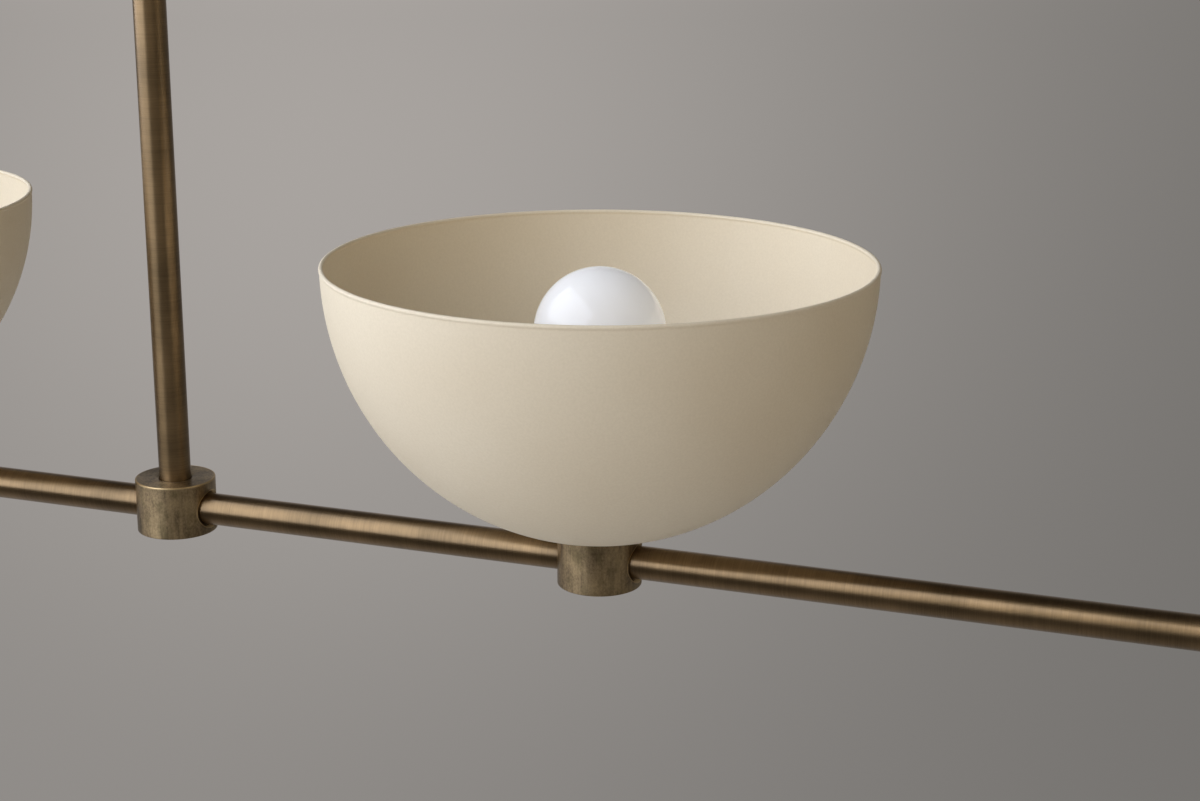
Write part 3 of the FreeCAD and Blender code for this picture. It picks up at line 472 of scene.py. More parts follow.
def lathe(bm, segments):
    """Turns everything in the mesh once round Z."""
    bmesh.ops.spin(
        bm,
        geom=bm.verts[:] + bm.edges[:],
        cent=(0, 0, 0),
        axis=(0, 0, 1),
        angle=FULL_TURN,
        steps=segments,
        use_merge=True,
    )
    weld(bm)
    bmesh.ops.recalc_face_normals(bm, faces=bm.faces[:])


def ring_edges(bm, radius, z):
    """The edges of one level circle."""

    def on_circle(vert):
        off = math.hypot(vert.co.x, vert.co.y) - radius
        return max(abs(off), abs(vert.co.z - z)) < RING_TOLERANCE

    return [edge for edge in bm.edges if on_circle(edge.verts[0]) and on_circle(edge.verts[1])]


def round_edges(bm, edges, width, segments=2):
    """Rounds edges by a bevel of the given width."""
    bmesh.ops.bevel(
        bm, geom=edges, offset=width, segments=segments, profile=0.5, affect="EDGES", material=-1
    )


def turn_about(bm, axis, angle):
    """Turns a piece made at the origin about one of the axes."""
    rotation = Matrix.Rotation(angle, 3, axis)
    bmesh.ops.rotate(bm, verts=bm.verts[:], cent=(0, 0, 0), matrix=rotation)


def move_to(bm, place):
    """Moves a piece made at the origin to its place."""
    bmesh.ops.translate(bm, verts=bm.verts[:], vec=place)


def join(bm, other):
    """Adds another bmesh to this one."""
    carrier = bpy.data.meshes.new("carrier")
    other.to_mesh(carrier)
    other.free()
    bm.from_mesh(carrier)
    bpy.data.meshes.remove(carrier)


def cut_away(bm, tool):
    """A closed mesh less another one."""
    pieces = []
    for part in (bm, tool):
        mesh = bpy.data.meshes.new("cut_away")
        part.to_mesh(mesh)
        part.free()
        pieces.append(bpy.data.objects.new("cut_away", mesh))
        bpy.context.scene.collection.objects.link(pieces[-1])
    cutting = pieces[0].modifiers.new("cutting", "BOOLEAN")
    cutting.operation = "DIFFERENCE"
    cutting.solver = "EXACT"
    cutting.object = pieces[1]
    bpy.context.view_layer.update()
    result = bmesh.new()
    result.from_object(pieces[0], bpy.context.evaluated_depsgraph_get())
    for piece in pieces:
        bpy.data.meshes.remove(piece.data)
    return result


def mesh_from(name, bm, smooth_deg=40):
    """A mesh with its edges shaded smooth up to an angle."""
    mesh = bpy.data.meshes.new(name)
    bm.to_mesh(mesh)
    bm.free()
    mesh.shade_smooth()
    mesh.set_sharp_from_angle(angle=math.radians(smooth_deg))
    return mesh


def place_piece(name, mesh, material, node):
    """Puts a finished mesh in the scene, in place of a CAD node and on its body."""
    piece = bpy.data.objects.new(name, mesh)
    bpy.context.scene.collection.objects.link(piece)
    mesh.materials.clear()
    mesh.materials.append(material)
    shading = piece.modifiers.new("even_shading", "WEIGHTED_NORMAL")
    shading.keep_sharp = True
    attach(piece, body_of(frame["nodes"][node])[0])
    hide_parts(node)


def refined_copy(node, material):
    """Stands in for a CAD node with the same surface, its corners joined and its round faces smooth."""
    bm = bmesh.new()
    bm.from_mesh(frame["nodes"][node].data)
    weld(bm)
    name = f"{node}_finish"
    place_piece(name, mesh_from(name, bm, smooth_deg=35), material, node)


# The pieces


def brass_tube(node, axis):
    """A tube along X or Z with slightly rounded ends."""
    low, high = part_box(node)
    size = high - low
    radius = size.y / 2
    half = (size.x if axis == "X" else size.z) / 2
    bore = radius - TUBE_WALL
    bm = bmesh.new()
    chain(bm, (bore, -half), [(radius, -half), (radius, half), (bore, half), (bore, -half)])
    lathe(bm, TUBE_SEGMENTS)
    for z in (-half, half):
        round_edges(bm, ring_edges(bm, radius, z) + ring_edges(bm, bore, z), TUBE_END_ROUND)
    if axis == "X":
        turn_about(bm, "Y", math.pi / 2)
    move_to(bm, middle(node))
    return bm


def elliptic_arc(bm, radius, depth, start_z, end_z, steps):
    """One side of a bowl in the XZ plane, from one height to another: a circle's arc, scaled."""
    first, last = (math.asin(-z / depth) for z in (start_z, end_z))
    known = set(bm.verts)
    chain(bm, (math.cos(first), -math.sin(first)), [((0, 0), last - first, steps)])
    bmesh.ops.scale(bm, verts=[v for v in bm.verts if v not in known], vec=(radius, 1, depth))


def bowl(node, look):
    """A spun bowl: a flat seat with a hole, the side of a half ellipsoid, and a bead rolled at the rim."""
    low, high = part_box(node)
    rise = high.z - low.z
    bead = look.bead_radius
    bead_x = (high.x - low.x) / 2 - bead
    outer = bead_x + look.wall / 2
    depth = rise / math.sqrt(1 - (look.seat_radius / outer) ** 2)
    lean = math.acos(look.wall / 2 / bead)
    joint_z = -bead - bead * math.sin(lean)
    inner, inner_depth = outer - look.wall, depth - look.wall
    floor_z = look.wall - rise
    floor_x = inner * math.sqrt(1 - (floor_z / inner_depth) ** 2)
    bm = bmesh.new()
    elliptic_arc(bm, outer, depth, -rise, joint_z, look.height_steps)
    elliptic_arc(bm, inner, inner_depth, joint_z, floor_z, look.height_steps)
    chain(bm, (outer, joint_z), [((bead_x, -bead), -(math.pi + 2 * lean), BEAD_STEPS)])
    hole = look.seat_hole_radius
    chain(bm, (floor_x, floor_z), [(hole, floor_z), (hole, -rise), (look.seat_radius, -rise)])
    bmesh.ops.remove_doubles(bm, verts=bm.verts[:], dist=BOWL_WELD_DISTANCE)
    lathe(bm, look.side_steps)
    for radius in (outer, inner):
        round_edges(bm, ring_edges(bm, radius, joint_z), BOWL_JOINT_ROUND)
    move_to(bm, (middle(node).x, 0, high.z))
    return bm


def lamp_envelope(number, look):
    """A household lamp's glass: a round head drawn into a neck, and the stem inside the cap."""
    low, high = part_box(f"bulb_glass_{number}")
    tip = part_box(f"bulb_contact_{number}")[0].z
    radius = (high.x - low.x) / 2
    centre_z = high.z - radius
    neck_z = tip + look.neck_height
    # the waist is an arc that leaves the neck upright and meets the head in line
    rise = centre_z - neck_z
    waist = (look.neck_radius**2 + rise**2 - radius**2) / (2 * (radius - look.neck_radius))
    waist_x = look.neck_radius + waist
    sweep = math.atan2(rise, waist_x)
    cap_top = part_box(f"bulb_base_{number}")[1].z
    outline = [
        (LAMP_STEM_RADIUS, cap_top),
        (look.neck_radius - LAMP_SHOULDER, cap_top + 2 * LAMP_SHOULDER),
        (look.neck_radius, cap_top + 4 * LAMP_SHOULDER),
        (look.neck_radius, neck_z),
        ((waist_x, neck_z), sweep, LAMP_WAIST_STEPS),
        ((0, centre_z), -(math.pi / 2 + sweep), LAMP_HEAD_STEPS),
    ]
    bm = bmesh.new()
    chain(bm, (LAMP_STEM_RADIUS, low.z), outline)
    lathe(bm, LAMP_SEGMENTS)
    bmesh.ops.holes_fill(bm, edges=[e for e in bm.edges if e.is_boundary], sides=0)
    bmesh.ops.recalc_face_normals(bm, faces=bm.faces[:])
    move_to(bm, (middle(f"bulb_glass_{number}").x, 0, 0))
    return bm


def lamp_cap(number, look):
    """A lamp's metal cap: a rolled helical thread between a plain foot and a plain collar."""
    low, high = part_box(f"bulb_base_{number}")
    crest = (high.x - low.x) / 2
    bow = look.thread_depth / 2
    mean = crest - bow
    half = look.thread_pitch / 2
    bend = (half**2 / 4 + bow**2) / (2 * bow)
    sweep = 2 * math.asin(half / 2 / bend)
    start = low.z - half
    turns = math.ceil((high.z - start) / look.thread_pitch)
    bm = bmesh.new()
    out_centre = (mean + bow - bend, start + half / 2)
    in_centre = (mean - bow + bend, start + 1.5 * half)
    arcs = [(out_centre, -sweep, THREAD_ARC_STEPS), (in_centre, sweep, THREAD_ARC_STEPS)]
    chain(bm, (mean, start), arcs)
    bmesh.ops.spin(
        bm,
        geom=bm.verts[:] + bm.edges[:],
        cent=(0, 0, 0),
        axis=(0, 0, 1),
        dvec=(0, 0, look.thread_pitch / THREAD_STEPS),
        angle=FULL_TURN * turns,
        steps=THREAD_STEPS * turns,
    )
    bmesh.ops.remove_doubles(bm, verts=bm.verts[:], dist=THREAD_WELD_DISTANCE)
    # the thread is cut off where it runs into the foot and into the collar
    for level, sense in ((low.z + 0.8 * CAP_FOOT, -1), (high.z - CAP_COLLAR, 1)):
        bmesh.ops.bisect_plane(
            bm,
            geom=bm.verts[:] + bm.edges[:] + bm.faces[:],
            dist=WELD_DISTANCE / 2,
            plane_co=(0, 0, level),
            plane_no=(0, 0, sense),
            clear_outer=True,
        )
    bmesh.ops.recalc_face_normals(bm, faces=bm.faces[:])
    inner = CAP_BORE_RADIUS
    for bottom, top, outer in ((low.z, low.z + CAP_FOOT, mean), (high.z - CAP_COLLAR, high.z, crest)):
        band = bmesh.new()
        chain(band, (inner, bottom), [(outer, bottom), (outer, top), (inner, top), (inner, bottom)])
        lathe(band, CAP_SEGMENTS)
        round_edges(band, ring_edges(band, outer, bottom) + ring_edges(band, outer, top), CAP_EDGE_ROUND)
        join(bm, band)
    move_to(bm, (middle(f"bulb_base_{number}").x, 0, 0))
    return bm


def canopy_cup():
    """The canopy: a spun cup, open at the ceiling, with holes for the ball joint and the two studs."""
    low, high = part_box("canopy")
    radius = (high.x - low.x) / 2
    inner = radius - CANOPY_WALL
    floor = low.z + CANOPY_WALL
    hole = CANOPY_HOLE_RADIUS
    bm = bmesh.new()
    outside = [(radius, low.z), (radius, high.z), (inner, high.z)]
    inside = [(inner, floor), (hole, floor), (hole, low.z)]
    chain(bm, (hole, low.z), outside + inside)
    lathe(bm, CANOPY_SEGMENTS)
    round_edges(bm, ring_edges(bm, radius, low.z), CANOPY_EDGE_ROUND, segments=8)
    round_edges(bm, ring_edges(bm, inner, floor), CANOPY_EDGE_ROUND - CANOPY_WALL, segments=4)
    rim = ring_edges(bm, radius, high.z) + ring_edges(bm, inner, high.z)
    round_edges(bm, rim, CANOPY_RIM_ROUND)
    studs_low, studs_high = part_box("canopy_studs")
    stud_y = studs_high.y - (studs_high.x - studs_low.x) / 2
    drills = bmesh.new()
    for y in (-stud_y, stud_y):
        drill = bmesh.new()
        bmesh.ops.create_cone(
            drill,
            cap_ends=True,
            segments=STUD_HOLE_SIDES,
            radius1=STUD_HOLE_RADIUS,
            radius2=STUD_HOLE_RADIUS,
            depth=STUD_HOLE_DEPTH,
        )
        move_to(drill, (0, y, low.z))
        join(drills, drill)
    return cut_away(bm, drills)


def twist_connectors():
    """The three twist-on connectors: ribbed, tapered caps with an open mouth, lying along Y."""
    low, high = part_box("wire_connectors")
    level = (low.z + high.z) / 2
    ground_x = high.x - CONNECTOR_MOUTH
    places = ((0, LEAD_CONNECTOR_Y, 1), (0, -LEAD_CONNECTOR_Y, -1), (ground_x, GROUND_CONNECTOR_Y, 1))
    bm = bmesh.new()
    for x, y, sense in places:
        cap = ribbed_cap()
        turn_about(cap, "X", -sense * math.pi / 2)
        move_to(cap, (x, y, level))
        join(bm, cap)
    return bm


def ribbed_cap():
    """One connector standing on its mouth, with grip ribs raised from every second face."""
    bm = bmesh.new()
    bmesh.ops.create_cone(
        bm,
        cap_ends=True,
        segments=CONNECTOR_SIDES,
        radius1=CONNECTOR_MOUTH - CONNECTOR_RIB - CONNECTOR_MARGIN,
        radius2=CONNECTOR_TIP - CONNECTOR_RIB,
        depth=CONNECTOR_LENGTH,
    )
    move_to(bm, (0, 0, CONNECTOR_LENGTH / 2))
    walls = [f for f in bm.faces if len(f.verts) == 4]
    bmesh.ops.inset_individual(bm, faces=walls[::2], thickness=CONNECTOR_RIB / 2, depth=CONNECTOR_RIB)
    ends = [f for f in bm.faces if len(f.verts) == CONNECTOR_SIDES]
    mouth_face = min(ends, key=lambda f: f.calc_center_median().z)
    bmesh.ops.inset_region(bm, faces=[mouth_face], thickness=CONNECTOR_LIP, depth=0)
    floor = bmesh.ops.extrude_discrete_faces(bm, faces=[mouth_face])["faces"][0]
    bmesh.ops.translate(bm, verts=floor.verts[:], vec=(0, 0, CONNECTOR_LENGTH - CONNECTOR_TIP_WALL))
    bmesh.ops.scale(bm, verts=floor.verts[:], vec=(CONNECTOR_TAPER, CONNECTOR_TAPER, 1))
    weld(bm)
    bmesh.ops.recalc_face_normals(bm, faces=bm.faces[:])
    return bm


# The stage


def heading(azimuth, elevation):
    """A direction from its azimuth and elevation."""
    level = math.cos(elevation)
    return Vector((level * math.cos(azimuth), level * math.sin(azimuth), math.sin(elevation)))


def bell_about(tree, toward, azimuth, elevation, width):
    """A bell curve over directions: one at its aim, falling off with the angle from it."""
    facing = calculate_vector(tree, "DOT_PRODUCT", toward, heading(azimuth, elevation))
    steepness = 2 / width**2
    exponent = calculate(tree, "MULTIPLY_ADD", facing, steepness, -steepness)
    return calculate(tree, "EXPONENT", exponent)


def backdrop_colour(tree, toward, look):
    """The backdrop's colour by direction: palest low down, with a pool of light behind the bar."""
    pale_way = heading(look.pale_azimuth, look.pale_elevation)
    facing = calculate_vector(tree, "DOT_PRODUCT", toward, pale_way)
    share = calculate(tree, "POWER", remap(tree, facing, -1.0, 1.0), look.pale_falloff)
    plain = blend_colours(tree, share, look.backdrop_far, look.backdrop_near)
    # no direction counts as higher than this, so the pool fades downwards and not upwards
    lowered = calculate_vector(tree, "MINIMUM", toward, (1, 1, -0.1))
    pool = bell_about(tree, lowered, look.pool_azimuth, look.pool_elevation, look.pool_width)
    lit = blend_colours(tree, pool, plain, look.backdrop_pool)
    # a dark card that only glossy rays see hangs low at the camera's side: a painted dark reflection in
    # the metal
    dark_reflection = bell_about(tree, toward, look.card_azimuth, look.card_elevation, look.card_width)
    glossy = add(tree, "ShaderNodeLightPath").outputs["Is Glossy Ray"]
    mirrored = calculate(tree, "MULTIPLY", dark_reflection, glossy)
    return blend_colours(tree, mirrored, lit, look.card_colour)


def seen_directly(tree):
    """One for what the camera, metal and glass see, nought for light that spreads from matte surfaces."""
    rays = add(tree, "ShaderNodeLightPath").outputs
    seen = calculate(tree, "MAXIMUM", rays["Is Camera Ray"], rays["Is Glossy Ray"])
    return calculate(tree, "MAXIMUM", seen, rays["Is Transmission Ray"])


def lay_floor(look):
    """A wide, plain, pale floor that keeps part of the object's shadow."""
    bm = bmesh.new()
    bmesh.ops.create_circle(bm, cap_ends=True, segments=FLOOR_SEGMENTS, radius=FLOOR_RADIUS)
    move_to(bm, (0, 0, look.floor_level))
    floor = bpy.data.objects.new("floor", mesh_from("floor", bm))
    bpy.context.scene.collection.objects.link(floor)
    material = bpy.data.materials.new("pale_plaster_floor")
    tree = empty_tree(material)
    place = add(tree, "ShaderNodeNewGeometry").outputs["Position"]
    off_centre = calculate_vector(tree, "SUBTRACT", place, (CAD_BOX[0] + CAD_BOX[1]) / 2)
    colour = backdrop_colour(tree, calculate_vector(tree, "NORMALIZE", off_centre), look)
    matte = add(tree, "ShaderNodeBsdfDiffuse", {"Color": rgba(look.floor_colour)})
    painted_glow = add(tree, "ShaderNodeEmission", {"Color": colour, "Strength": FLOOR_OWN_SHARE})
    dim = rgba([FLOOR_LIT_SHARE * channel for channel in look.floor_colour])
    shadowed = add(tree, "ShaderNodeBsdfDiffuse", {"Color": dim})
    lit = add(tree, "ShaderNodeAddShader", {0: painted_glow.outputs[0], 1: shadowed.outputs[0]})
    choice = {0: seen_directly(tree), 1: matte.outputs[0], 2: lit.outputs[0]}
    seen = add(tree, "ShaderNodeMixShader", choice)
    add(tree, "ShaderNodeOutputMaterial", {"Surface": seen.outputs[0]})
    floor.data.materials.append(material)


def light_world(look):
    """A plain surround, pale at the horizon and dim overhead, so that metal keeps its dark bands."""
    world = bpy.data.worlds.new("soft_surround")
    bpy.context.scene.world = world
    tree = empty_tree(world)
    direction = add(tree, "ShaderNodeTexCoord").outputs["Generated"]
    up = add(tree, "ShaderNodeSeparateXYZ", {"Vector": direction}).outputs["Z"]
    shown = backdrop_colour(tree, direction, look)
    shown = shared_colours(tree, up, shown, look.overhead, 0.35, 0.8)
    spread = shared_colours(tree, up, look.horizon, look.overhead, 0.2, 0.6)
    colour = blend_colours(tree, seen_directly(tree), spread, shown)
    surround = add(tree, "ShaderNodeBackground", {"Color": colour, "Strength": 1.0})
    add(tree, "ShaderNodeOutputWorld", {"Surface": surround.outputs["Background"]})


def soft_light(name, brightness):
    """A softbox that faces the shades. Its brightness is that of a white sheet where the shades are."""
    azimuth, elevation, distance, width, tall, colour = SOFTBOXES[name]
    aim = (CAD_BOX[0] + CAD_BOX[1]) / 2
    aim.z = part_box("shade_3")[0].z
    toward = heading(math.radians(azimuth), math.radians(elevation))
    data = bpy.data.lights.new(name, "AREA")
    data.shape = "RECTANGLE"
    data.size = width
    data.size_y = tall
    data.energy = brightness * (math.pi * distance) ** 2 * SOFTBOX_GAIN
    data.color = linear(colour)[:3]
    lamp = bpy.data.objects.new(name, data)
    lamp.location = aim + toward * distance
    lamp.rotation_euler = toward.to_track_quat("Z", "Y").to_euler()
    lamp.visible_camera = False
    bpy.context.scene.collection.objects.link(lamp)


def stand_camera(look):
    """The camera at the photograph's place."""
    data = bpy.data.cameras.new("camera")
    data.lens = look.lens_mm
    data.sensor_width = SENSOR_WIDTH_MM
    camera = bpy.data.objects.new("camera", data)
    camera.location = look.camera_place
    camera.rotation_euler = look.camera_turn
    bpy.context.scene.collection.objects.link(camera)
    bpy.context.scene.camera = camera


# What a user may change


def colour_setting(name, description, default):
    """A colour; its default is an sRGB hex colour."""
    return FloatVectorProperty(
        name=name,
        description=description,
        default=linear(default)[:3],
        subtype="COLOR",
        min=0,
        max=1,
    )


def length_setting(name, description, default_mm, least_mm=1):
    """A length; its default and its least value are in millimetres."""
    return FloatProperty(
        name=name,
        description=description,
        default=default_mm * MM,
        min=least_mm * MM,
        unit="LENGTH",
    )


def angle_setting(name, description, default_deg):
    """An angle; its default is in degrees."""
    return FloatProperty(
        name=name, description=description, default=math.radians(default_deg), unit="ROTATION"
    )


class BrassLook(bpy.types.PropertyGroup):
    """The aged brass of the bar, stem, hubs and canopy."""

    patina: colour_setting("Patina", "Colour where the brown patina is whole", "#6B583D")
    worn: colour_setting("Rubbed brass", "Colour where the patina is rubbed thin", "#9C815C")
    hub_patina: colour_setting("Hub patina", "Colour of the hubs where the patina is whole", "#7A6850")
    hub_worn: colour_setting(
        "Rubbed hub", "Colour of the hubs where the patina is rubbed thin", "#BDA57D"
    )
    lacquer: FloatProperty(
        name="Lacquer", description="How full the clear lacquer is", default=0.42, min=0, max=1
    )
    brush_line_pitch: length_setting(
        "Brush line pitch", "Distance between brush lines along a tube", 0.4, least_mm=0.1
    )
    brush_line_length: length_setting("Brush line length", "How far a brush line runs round a tube", 16)


class ShadeLook(bpy.types.PropertyGroup):
    """The bowl shades and their powder coat."""

    coat: colour_setting("Coat", "Colour of the powder coat", "#E9DEC7")
    coat_thin: colour_setting("Thin coat", "Colour where the coat is a little thinner", "#E6DAC2")
    pebble_size: length_setting(
        "Pebble size",
        "Size of the coat's fine bumps, drawn coarser than real so that they show",
        1.1,
        least_mm=0.1,
    )
    wall: length_setting("Wall", "Thickness of the spun metal", 1.5, least_mm=0.5)
    seat_radius: length_setting("Seat radius", "Radius of the flat that stands on the hub", 20.5)
    seat_hole_radius: length_setting("Seat hole radius", "Radius of the hole for the nipple", 5.2)
    bead_radius: length_setting("Bead radius", "Radius of the bead rolled at the rim", 1.1, least_mm=0.1)
    side_steps: IntProperty(
        name="Steps round the bowl",
        description="How many faces go round a bowl",
        default=224,
        min=24,
    )
    height_steps: IntProperty(
        name="Steps up the bowl",
        description="How many faces go up a bowl's side",
        default=64,
        min=8,
    )


class LampLook(bpy.types.PropertyGroup):
    """The household lamps."""

    neck_radius: length_setting(
        "Neck radius", "Radius of the glass where it leaves the cap", 14.0, least_mm=5
    )
    neck_height: length_setting("Neck height", "Height of the neck above the lamp's tip", 27, least_mm=5)
    # a painted glow: emission that stands in for light passed through the thin glass
    painted_glow: FloatProperty(
        name="Glow",
        description="How bright the light that comes through the thin glass makes it",
        default=0.22,
        min=0,
        max=1,
    )
    thread_pitch: length_setting(
        "Thread pitch", "Distance between the turns of the cap's rolled thread", 3.63
    )
    thread_depth: length_setting("Thread depth", "Depth of the rolled thread", 0.6, least_mm=0.1)


class StageLook(bpy.types.PropertyGroup):
    """The camera, the floor and the light."""

    camera_place: FloatVectorProperty(
        name="Camera place",
        description="Where the camera stands",
        default=(0.556, -0.893, -0.327),
        subtype="TRANSLATION",
        unit="LENGTH",
    )
    camera_turn: FloatVectorProperty(
        name="Camera turn",
        description="Which way the camera looks",
        default=(math.radians(90 - 15.615), math.radians(-0.076), math.radians(20.155)),
        subtype="EULER",
        unit="ROTATION",
    )
    lens_mm: FloatProperty(
        name="Lens", description="Focal length on a 36 mm wide sensor", default=64.1, unit="CAMERA"
    )
    floor_level: FloatProperty(
        name="Floor level",
        description="Height of the floor below the ceiling",
        default=-2.4,
        unit="LENGTH",
    )
    floor_colour: colour_setting("Floor", "Colour of the pale floor", "#E6E3DE")
    pale_azimuth: angle_setting("Pale azimuth", "Direction of the backdrop's palest part", 170)
    pale_elevation: angle_setting("Pale elevation", "Elevation of the backdrop's palest part", -60)
    pale_falloff: FloatProperty(
        name="Pale falloff",
        description="How fast the backdrop greys away from its palest part",
        default=8.0,
        min=0.1,
    )
    pool_azimuth: angle_setting("Pool azimuth", "Direction of the pool of light on the backdrop", 117.9)
    pool_elevation: angle_setting("Pool elevation", "Elevation of the pool of light", -9.1)
    pool_width: angle_setting("Pool width", "How far the pool of light spreads", 20.0)
    # the dark card is seen only in reflections: a painted dark reflection in the metal
    card_azimuth: angle_setting(
        "Card azimuth", "Direction of the dark card that the metal mirrors", -113
    )
    card_elevation: angle_setting("Card elevation", "Elevation of the dark card", -34)
    card_width: angle_setting("Card width", "How far the dark card reaches", 28)
    card_colour: colour_setting("Card", "Colour of the dark card", "#2B2A29")
    backdrop_pool: colour_setting(
        "Pool of light", "Colour of the backdrop where the pool of light is brightest", "#ADA8A4"
    )
    backdrop_near: colour_setting(
        "Backdrop, pale side", "Colour of the backdrop's palest part", "#A6A19D"
    )
    backdrop_far: colour_setting(
        "Backdrop, far side", "Colour of the backdrop's greyest part", "#6E6C69"
    )
    horizon: colour_setting("Horizon", "Colour of the light that the horizon sends", "#BFAF97")
    overhead: colour_setting("Overhead", "Colour of the surround above", "#3A3734")
    key_brightness: FloatProperty(
        name="Key light", description="Brightness of the side light", default=1.67, min=0
    )
    fill_brightness: FloatProperty(
        name="Fill light", description="Brightness of the front light", default=0.08, min=0
    )


# One operator for each piece or group of like pieces


class PENDANT_OT_bar(bpy.types.Operator):
    """Turn the bar's four tubes and the stem"""

    bl_idname = "pendant.bar"
    bl_label = "Bar and stem"

    def execute(self, context):
        look = context.scene.pendant_brass
        along = aged_brass("aged_brass_brushed_along_bar", "X", look)
        up = aged_brass("aged_brass_brushed_along_stem", "Z", look)
        for node in TUBES:
            bm = brass_tube(node, "X")
            place_piece(f"{node}_brushed", mesh_from(node, bm), along, node)
        bm = brass_tube("stem", "Z")
        place_piece("stem_brushed", mesh_from("stem", bm), up, "stem")
        return {"FINISHED"}


class PENDANT_OT_hubs(bpy.types.Operator):
    """Finish the five turned hubs and the plugs under them"""

    bl_idname = "pendant.hubs"
    bl_label = "Hubs"

    def execute(self, context):
        material = turned_brass("aged_brass_turned", context.scene.pendant_brass)
        for node in ("centre_hub", "hub_plugs", *[f"shade_hub_{n}" for n in LIGHTS]):
            refined_copy(node, material)
        return {"FINISHED"}


class PENDANT_OT_shades(bpy.types.Operator):
    """Spin the four bowl shades"""

    bl_idname = "pendant.shades"
    bl_label = "Bowl shades"

    def execute(self, context):
        look = context.scene.pendant_shade
        material = powder_coat("cream_powder_coat", look)
        for number in LIGHTS:
            node = f"shade_{number}"
            place_piece(f"bowl_{number}", mesh_from(node, bowl(node, look)), material, node)
        return {"FINISHED"}


class PENDANT_OT_lamps(bpy.types.Operator):
    """Blow the four lamps and roll the thread of their caps"""

    bl_idname = "pendant.lamps"
    bl_label = "Lamps"

    def execute(self, context):
        look = context.scene.pendant_lamp
        glass = opal_glass("blown_opal_glass", look)
        cap = plated_metal("nickel_plated_cap", "#C9C4BA", "#A9A498", roughness=0.24)
        foot = lamp_foot_glass("black_foot_and_solder")
        for number in LIGHTS:
            node = f"bulb_glass_{number}"
            mesh = mesh_from(node, lamp_envelope(number, look))
            place_piece(f"lamp_glass_{number}", mesh, glass, node)
            node = f"bulb_base_{number}"
            mesh = mesh_from(node, lamp_cap(number, look), smooth_deg=60)
            place_piece(f"lamp_cap_{number}", mesh, cap, node)
            refined_copy(f"bulb_contact_{number}", foot)
        return {"FINISHED"}


class PENDANT_OT_lampholders(bpy.types.Operator):
    """Finish the lampholders and what clamps them to the shades"""

    bl_idname = "pendant.lampholders"
    bl_label = "Lampholders"

    def execute(self, context):
        porcelain = glazed_porcelain("glazed_porcelain")
        nickel = plated_metal("nickel_plated_shell", "#D2CCBE", "#B4AD9C", roughness=0.2)
        zinc = plated_metal("zinc_plated_steel", "#C3C4C2", "#A0A19E", roughness=0.3)
        for number in LIGHTS:
            refined_copy(f"socket_body_{number}", porcelain)
            refined_copy(f"socket_shell_{number}", nickel)
        refined_copy("socket_contacts", machined_brass("brass_contact"))
        refined_copy("socket_terminal_screws", nickel)
        refined_copy("shade_washers", zinc)
        refined_copy("shade_nuts", zinc)
        return {"FINISHED"}


class PENDANT_OT_canopy(bpy.types.Operator):
    """Spin the canopy and finish its plate, studs and nuts"""

    bl_idname = "pendant.canopy"
    bl_label = "Canopy"

    def execute(self, context):
        look = context.scene.pendant_brass
        material = aged_brass("aged_brass_brushed_canopy", "Z", look)
        place_piece("canopy_cup", mesh_from("canopy_cup", canopy_cup()), material, "canopy")
        turned = turned_brass("aged_brass_nuts", look)
        refined_copy("canopy_cap_nuts", turned)
        zinc = plated_metal("zinc_plated_plate", "#BFC0BE", "#97989A", roughness=0.32)
        refined_copy("mounting_plate", zinc)
        refined_copy("canopy_studs", zinc)
        return {"FINISHED"}


class PENDANT_OT_swivel(bpy.types.Operator):
    """Finish the ball joint"""

    bl_idname = "pendant.swivel"
    bl_label = "Ball joint"

    def execute(self, context):
        turned = turned_brass("aged_brass_housing", context.scene.pendant_brass)
        machined = machined_brass("machined_brass_ring")
        nylon = plastic("natural_nylon", "#DDD8CA", "#D2CCBC", roughness=0.45)
        for node in ("swivel_housing", "swivel_housing_nut", "swivel_ball", "swivel_nipple"):
            refined_copy(node, turned)
        refined_copy("swivel_retaining_ring", machined)
        for node in ("swivel_lower_liner", "swivel_upper_liner"):
            refined_copy(node, nylon)
        return {"FINISHED"}


class PENDANT_OT_fittings(bpy.types.Operator):
    """Finish the nipples and bushings that join the tubes"""

    bl_idname = "pendant.fittings"
    bl_label = "Joining fittings"

    def execute(self, context):
        material = machined_brass("machined_brass_fittings")
        for node in ("tube_bushings", "tube_nipples", "socket_nipples"):
            refined_copy(node, material)
        return {"FINISHED"}


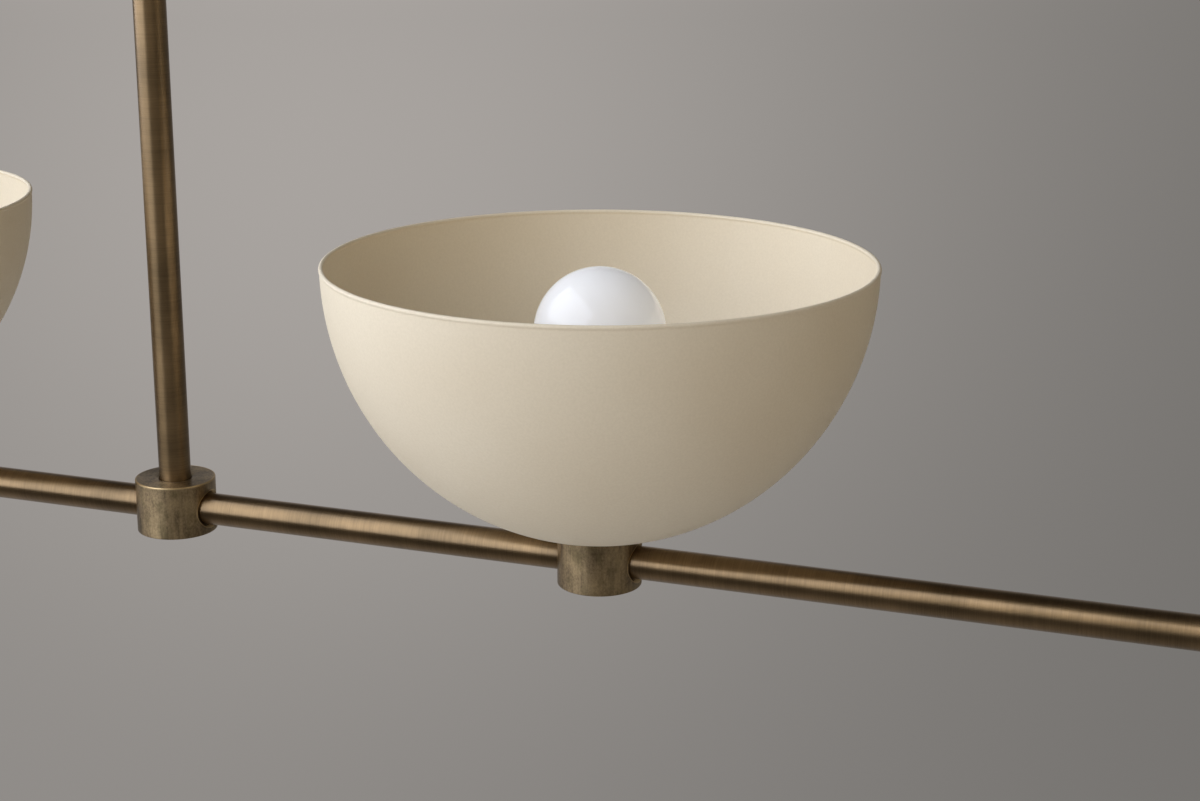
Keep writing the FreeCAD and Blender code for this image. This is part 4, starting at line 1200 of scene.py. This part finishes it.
class PENDANT_OT_wiring(bpy.types.Operator):
    """Finish the leads, their connectors and the ground screw"""

    bl_idname = "pendant.wiring"
    bl_label = "Wiring"

    def execute(self, context):
        black = plastic("black_pvc", "#1B1A1A", "#262424", roughness=0.42)
        white = plastic("white_pvc", "#E4E2DC", "#D6D3CB", roughness=0.42)
        green = plastic("green_pvc", "#1F6B38", "#17572C", roughness=0.42)
        for node in ("line_leads", "canopy_line_leads"):
            refined_copy(node, black)
        for node in ("neutral_leads", "canopy_neutral_leads"):
            refined_copy(node, white)
        refined_copy("ground_lead", green)
        steel = plated_metal("green_passivated_steel", "#4E8A5B", "#3B6F48", roughness=0.34)
        refined_copy("ground_screw", steel)
        moulded = plastic("moulded_polypropylene", "#C8541E", "#B74A18", roughness=0.36)
        mesh = mesh_from("wire_connectors", twist_connectors(), smooth_deg=25)
        place_piece("wire_connector_caps", mesh, moulded, "wire_connectors")
        return {"FINISHED"}


class PENDANT_OT_stage(bpy.types.Operator):
    """Lay the floor, hang the lights and stand the camera"""

    bl_idname = "pendant.stage"
    bl_label = "Stage"

    def execute(self, context):
        look = context.scene.pendant_stage
        lay_floor(look)
        light_world(look)
        soft_light("key", look.key_brightness)
        soft_light("fill", look.fill_brightness)
        stand_camera(look)
        context.scene.view_settings.view_transform = "Standard"
        return {"FINISHED"}


OPERATORS = (
    PENDANT_OT_bar,
    PENDANT_OT_hubs,
    PENDANT_OT_shades,
    PENDANT_OT_lamps,
    PENDANT_OT_lampholders,
    PENDANT_OT_canopy,
    PENDANT_OT_swivel,
    PENDANT_OT_fittings,
    PENDANT_OT_wiring,
    PENDANT_OT_stage,
)
LOOKS = {
    "pendant_brass": BrassLook,
    "pendant_shade": ShadeLook,
    "pendant_lamp": LampLook,
    "pendant_stage": StageLook,
}


class PENDANT_PT_panel(bpy.types.Panel):
    """The pendant's settings and steps"""

    bl_label = "Island pendant"
    bl_space_type = "VIEW_3D"
    bl_region_type = "UI"
    bl_category = "Pendant"

    def draw(self, context):
        for name, group in LOOKS.items():
            settings = getattr(context.scene, name)
            box = self.layout.box()
            box.label(text=group.__doc__)
            for key in group.__annotations__:
                box.prop(settings, key)
        for operator in OPERATORS:
            self.layout.operator(operator.bl_idname)


def register():
    """Adds the settings, the operators and the panel to Blender."""
    for cls in (*LOOKS.values(), *OPERATORS, PENDANT_PT_panel):
        bpy.utils.register_class(cls)
    for name, group in LOOKS.items():
        setattr(bpy.types.Scene, name, PointerProperty(type=group))


def unregister():
    """Takes the settings, the operators and the panel out again."""
    for name in LOOKS:
        delattr(bpy.types.Scene, name)
    for cls in reversed((*LOOKS.values(), *OPERATORS, PENDANT_PT_panel)):
        bpy.utils.unregister_class(cls)


def main():
    """Makes every piece and the stage."""
    register()
    for operator in OPERATORS:
        family, name = operator.bl_idname.split(".")
        getattr(getattr(bpy.ops, family), name)()


if __name__ == "__main__":
    main()
